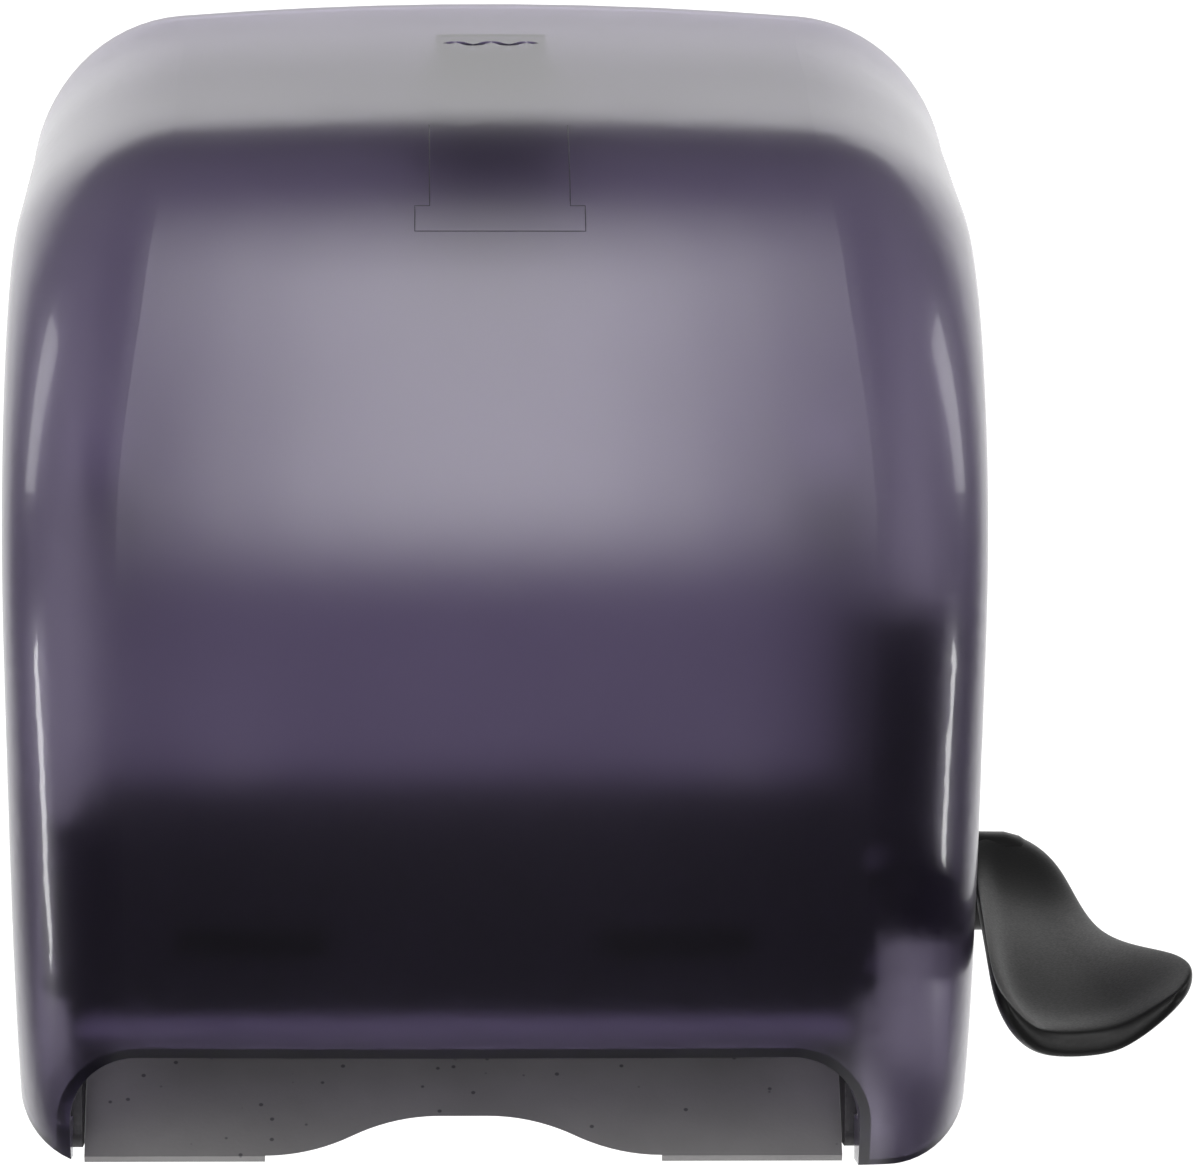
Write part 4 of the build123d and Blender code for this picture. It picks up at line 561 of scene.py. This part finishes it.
# %% Screw tree
def screw_tree():
    tree = bpy.data.node_groups.new("cross_head_screws", "GeometryNodeTree")
    tree.interface.new_socket("Geometry", in_out="INPUT", socket_type="NodeSocketGeometry")
    tree.interface.new_socket("Geometry", in_out="OUTPUT", socket_type="NodeSocketGeometry")
    for name in ("Head radius", "Head height", "Shank radius", "Length"):
        tree.interface.new_socket(name, in_out="INPUT", socket_type="NodeSocketFloat")
    tree.interface.new_socket("Facing", in_out="INPUT", socket_type="NodeSocketVector")
    tree.interface.new_socket("Finish", in_out="INPUT", socket_type="NodeSocketMaterial")
    given = tree.nodes.new("NodeGroupInput").outputs

    def node(kind, inputs, **settings):
        made = tree.nodes.new(kind)
        for name, value in settings.items():
            setattr(made, name, value)
        for socket, value in inputs.items():
            if isinstance(value, bpy.types.NodeSocket):
                tree.links.new(value, made.inputs[socket])
            else:
                made.inputs[socket].default_value = value
        return made.outputs[0]

    def calc(operation, first, second):
        return node("ShaderNodeMath", {0: first, 1: second}, operation=operation)

    def vector(x, y, z):
        return node("ShaderNodeCombineXYZ", {"X": x, "Y": y, "Z": z})

    def shift(geometry, height):
        move = vector(0.0, 0.0, height)
        return node("GeometryNodeTransform", {"Geometry": geometry, "Translation": move})

    radius, height = given["Head radius"], given["Head height"]
    crown = calc("MULTIPLY", radius, 0.8)
    head = node(
        "GeometryNodeMeshCone",
        {"Vertices": 40, "Radius Top": crown, "Radius Bottom": radius, "Depth": height}, fill_type="NGON",
    )
    head = shift(head, calc("MULTIPLY", height, -1.0))
    slot_length, slot_width = calc("MULTIPLY", radius, 1.1), calc("MULTIPLY", radius, 0.26)
    slot_depth = calc("MULTIPLY", height, 1.2)
    arms = [
        node("GeometryNodeMeshCube", {"Size": vector(*size, slot_depth)})
        for size in ((slot_length, slot_width), (slot_width, slot_length))
    ]
    recess = tree.nodes.new("GeometryNodeMeshBoolean")
    recess.operation = "DIFFERENCE"
    tree.links.new(head, recess.inputs["Mesh 1"])
    for arm in arms:
        tree.links.new(arm, recess.inputs["Mesh 2"])
    run = calc("SUBTRACT", given["Length"], height)
    shank = node(
        "GeometryNodeMeshCylinder", {"Vertices": 24, "Radius": given["Shank radius"], "Depth": run}
    )
    shank = shift(shank, calc("MULTIPLY", calc("ADD", calc("MULTIPLY", run, 0.5), height), -1.0))
    screw = tree.nodes.new("GeometryNodeJoinGeometry")
    tree.links.new(recess.outputs[0], screw.inputs[0])
    tree.links.new(shank, screw.inputs[0])
    points = node("GeometryNodeMeshToPoints", {"Mesh": given["Geometry"]})
    placed = node(
        "GeometryNodeInstanceOnPoints",
        {"Points": points, "Instance": screw.outputs[0], "Rotation": given["Facing"]},
    )
    chance = tree.nodes.new("FunctionNodeRandomValue")
    chance.data_type = "FLOAT"
    chance.inputs["Seed"].default_value = 7
    chance.inputs[3].default_value = math.pi   # the largest turn, in the node's sockets for floats
    turned = node(
        "GeometryNodeRotateInstances",
        {"Instances": placed, "Rotation": vector(0.0, 0.0, chance.outputs[1]), "Local Space": True},
    )
    real = node("GeometryNodeRealizeInstances", {"Geometry": turned})
    real = node("GeometryNodeSetMaterial", {"Geometry": real, "Material": given["Finish"]})
    tree.links.new(real, tree.nodes.new("NodeGroupOutput").inputs[0])
    return tree


def set_inputs(modifier, **values):
    """Set the tree's inputs by identifier, found by name."""
    for item in modifier.node_group.interface.items_tree:
        name = item.name.replace(" ", "_")
        if item.in_out == "INPUT" and name in values:
            modifier[item.identifier] = values[name]


screws = screw_tree()
print("screw tree with", len(screws.nodes), "nodes")

# %% [markdown]
# ### Screws in their places
# The separate bodies of a solid group are found by walking along its edges, from its first point on, so that
# their order is the same each run. The middle of each body's box, on the side that the head looks to, is the
# point for the node tree, and the box gives the length and the head's radius too.

# %% Place the screws
FACINGS = {
    # which way the heads look: axis, sign and the turn that takes +Z there
    "front": (1, -1, (math.pi / 2, 0, 0)),
    "back": (1, 1, (-math.pi / 2, 0, 0)),
    "right": (0, 1, (0, math.pi / 2, 0)),
}
SCREWS = {
    # node: facing, body, head height and shank radius in millimetres
    "chassis_screws": ("front", "housing", 2.0, 1.5),
    "arm_screws": ("front", "housing", 2.0, 1.5),
    "panel_screws": ("front", "housing", 2.0, 1.5),
    "guard_screws": ("right", "housing", 2.0, 1.5),
    "tear_bar_screws": ("back", "housing", 1.0, 1.2),
    "lever_screw": ("right", "lever", 3.0, 2.0),
}


def islands(solid):
    """Boxes of a solid's separate bodies, each as its lowest and highest corner."""
    mesh = bmesh.new()
    mesh.from_mesh(solid.data)
    bmesh.ops.remove_doubles(mesh, verts=mesh.verts, dist=1e-6)
    left, boxes = set(mesh.verts), []
    for start in mesh.verts:
        if start not in left:
            continue
        left.remove(start)
        places, waiting = [], [start]
        while waiting:
            vert = waiting.pop()
            places.append(vert.co)
            for link in vert.link_edges:
                other = link.other_vert(vert)
                if other in left:
                    left.remove(other)
                    waiting.append(other)
        boxes.append([Vector([pick(p[axis] for p in places) for axis in range(3)]) for pick in (min, max)])
    mesh.free()
    return boxes


for name, (facing, body, head_height, shank_radius) in SCREWS.items():
    axis, sign, turn = FACINGS[facing]
    tips, length, radius = [], 0.0, 0.0
    for low, high in islands(nodes[name]):
        tip = (low + high) / 2
        tip[axis] = high[axis] if sign > 0 else low[axis]
        tips.append(tip)
        length = high[axis] - low[axis]
        radius = (high[2] - low[2]) / 2
    data = bpy.data.meshes.new(name + "_cross")
    data.from_pydata(tips, [], [])
    group = bpy.data.objects.new(name + "_cross", data)
    bpy.context.scene.collection.objects.link(group)
    maker = group.modifiers.new("screws", "NODES")
    maker.node_group = screws
    set_inputs(
        maker, Head_radius=radius, Head_height=head_height * MM, Shank_radius=shank_radius * MM,
        Length=length, Facing=turn, Finish=screw_steel.material,
    )
    settle(group, screw_steel, smooth=False)
    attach(group, body)
    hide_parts(name)
    print(name, len(tips), "screws, head radius", round(radius / MM, 2), "faces", len(group.data.polygons))

# %% [markdown]
# ## Springs
# The latch spring and the two pinch springs are squeezed by the pieces that they push, which a rigid coil
# can't follow. New coils could be wound, but the solids already have the right turns. So a merged copy of
# each takes its place on the housing; it does not shorten as its joint moves.

# %% Springs
SPRINGS = {
    # node: joint, direction of the coil, whether its fixed end is the higher one, share of length left
    "latch_spring": ("latch_press", (0, 0, 1), False, 0.34),
    "pinch_springs": ("pinch_swing", (0, 1, 0), True, 0.84),
}
for name, (joint, along, high_end, share) in SPRINGS.items():
    mesh = bmesh.new()
    mesh.from_mesh(nodes[name].data)
    bmesh.ops.remove_doubles(mesh, verts=mesh.verts, dist=1e-6)
    data = bpy.data.meshes.new(name + "_coil")
    mesh.to_mesh(data)
    mesh.free()
    coil = bpy.data.objects.new(name + "_coil", data)
    bpy.context.scene.collection.objects.link(coil)
    settle(coil, spring_steel)
    low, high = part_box(name)
    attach(coil, "housing")
    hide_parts(name)
    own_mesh(coil)
    print(name, len(coil.data.polygons), "faces, shortens with", joint)

# %% [markdown]
# ## Witness line on the cover
# Under the key slot the cover shows a fine line shaped like an upright plate on a wider foot. A groove would
# change the cover's own mesh, so the line is a dark hair laid on it: its dark colour is painted shade that
# stands in for the shadow in the groove. Its corners are written in front view; a node tree drops them on the
# cover's skin and gives the line its thickness.

# %% Witness line
WITNESS = (
    (-18.3, 106.0), (-18.3, 82.2), (-22.4, 82.2), (-22.4, 75.0),
    (24.8, 75.0), (24.8, 82.2), (20.7, 82.2), (20.7, 106.0),
)
WITNESS_STEP = 2.0     # millimetres between points
WITNESS_RADIUS = 0.16
AHEAD = -400.0         # start of the rays, well in front of the cover


def witness_tree():
    tree = bpy.data.node_groups.new("line_on_skin", "GeometryNodeTree")
    tree.interface.new_socket("Geometry", in_out="INPUT", socket_type="NodeSocketGeometry")
    tree.interface.new_socket("Geometry", in_out="OUTPUT", socket_type="NodeSocketGeometry")
    tree.interface.new_socket("Skin", in_out="INPUT", socket_type="NodeSocketObject")
    tree.interface.new_socket("Radius", in_out="INPUT", socket_type="NodeSocketFloat")
    tree.interface.new_socket("Finish", in_out="INPUT", socket_type="NodeSocketMaterial")
    given = tree.nodes.new("NodeGroupInput").outputs
    skin = tree.nodes.new("GeometryNodeObjectInfo")
    tree.links.new(given["Skin"], skin.inputs["Object"])
    cast = tree.nodes.new("GeometryNodeRaycast")
    cast.inputs["Ray Direction"].default_value = (0.0, 1.0, 0.0)
    cast.inputs["Ray Length"].default_value = 1.0
    tree.links.new(skin.outputs["Geometry"], cast.inputs["Target Geometry"])
    drop = tree.nodes.new("GeometryNodeSetPosition")
    tree.links.new(given["Geometry"], drop.inputs["Geometry"])
    tree.links.new(cast.outputs["Hit Position"], drop.inputs["Position"])
    line = tree.nodes.new("GeometryNodeMeshToCurve")
    tree.links.new(drop.outputs[0], line.inputs["Mesh"])
    ring = tree.nodes.new("GeometryNodeCurvePrimitiveCircle")
    ring.inputs["Resolution"].default_value = 8
    tree.links.new(given["Radius"], ring.inputs["Radius"])
    tube = tree.nodes.new("GeometryNodeCurveToMesh")
    tube.inputs["Fill Caps"].default_value = True
    tree.links.new(line.outputs[0], tube.inputs["Curve"])
    tree.links.new(ring.outputs[0], tube.inputs["Profile Curve"])
    real = tree.nodes.new("GeometryNodeRealizeInstances")
    tree.links.new(tube.outputs[0], real.inputs[0])
    paint = tree.nodes.new("GeometryNodeSetMaterial")
    tree.links.new(real.outputs[0], paint.inputs["Geometry"])
    tree.links.new(given["Finish"], paint.inputs["Material"])
    tree.links.new(paint.outputs[0], tree.nodes.new("NodeGroupOutput").inputs[0])
    return tree


def stepped(corners, step):
    """Points along straight runs between corners, about a step apart."""
    points = [corners[0]]
    for first, second in zip(corners, corners[1:]):
        count = max(1, round(math.dist(first, second) / step))
        for index in range(1, count + 1):
            share = index / count
            points.append(tuple(a + (b - a) * share for a, b in zip(first, second)))
    return points


# Dark colour of the line: painted shade in place of the shadow in a groove.
witness_dark = moulded(
    "witness_dark", (0.030, 0.027, 0.036), (0.045, 0.040, 0.052),
    roughness=(0.4, 0.5), grain=900.0, depth=0.00002,
)
route = [(x * MM, AHEAD * MM, z * MM) for x, z in stepped(WITNESS, WITNESS_STEP)]
data = bpy.data.meshes.new("cover_witness_line")
data.from_pydata(route, [(index, index + 1) for index in range(len(route) - 1)], [])
witness = bpy.data.objects.new("cover_witness_line", data)
bpy.context.scene.collection.objects.link(witness)
drawer = witness.modifiers.new("line", "NODES")
drawer.node_group = witness_tree()
set_inputs(drawer, Skin=nodes["cover"], Radius=WITNESS_RADIUS * MM, Finish=witness_dark.material)
settle(witness, witness_dark)
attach(witness, "cover")
print("witness line", len(witness.data.polygons), "faces")
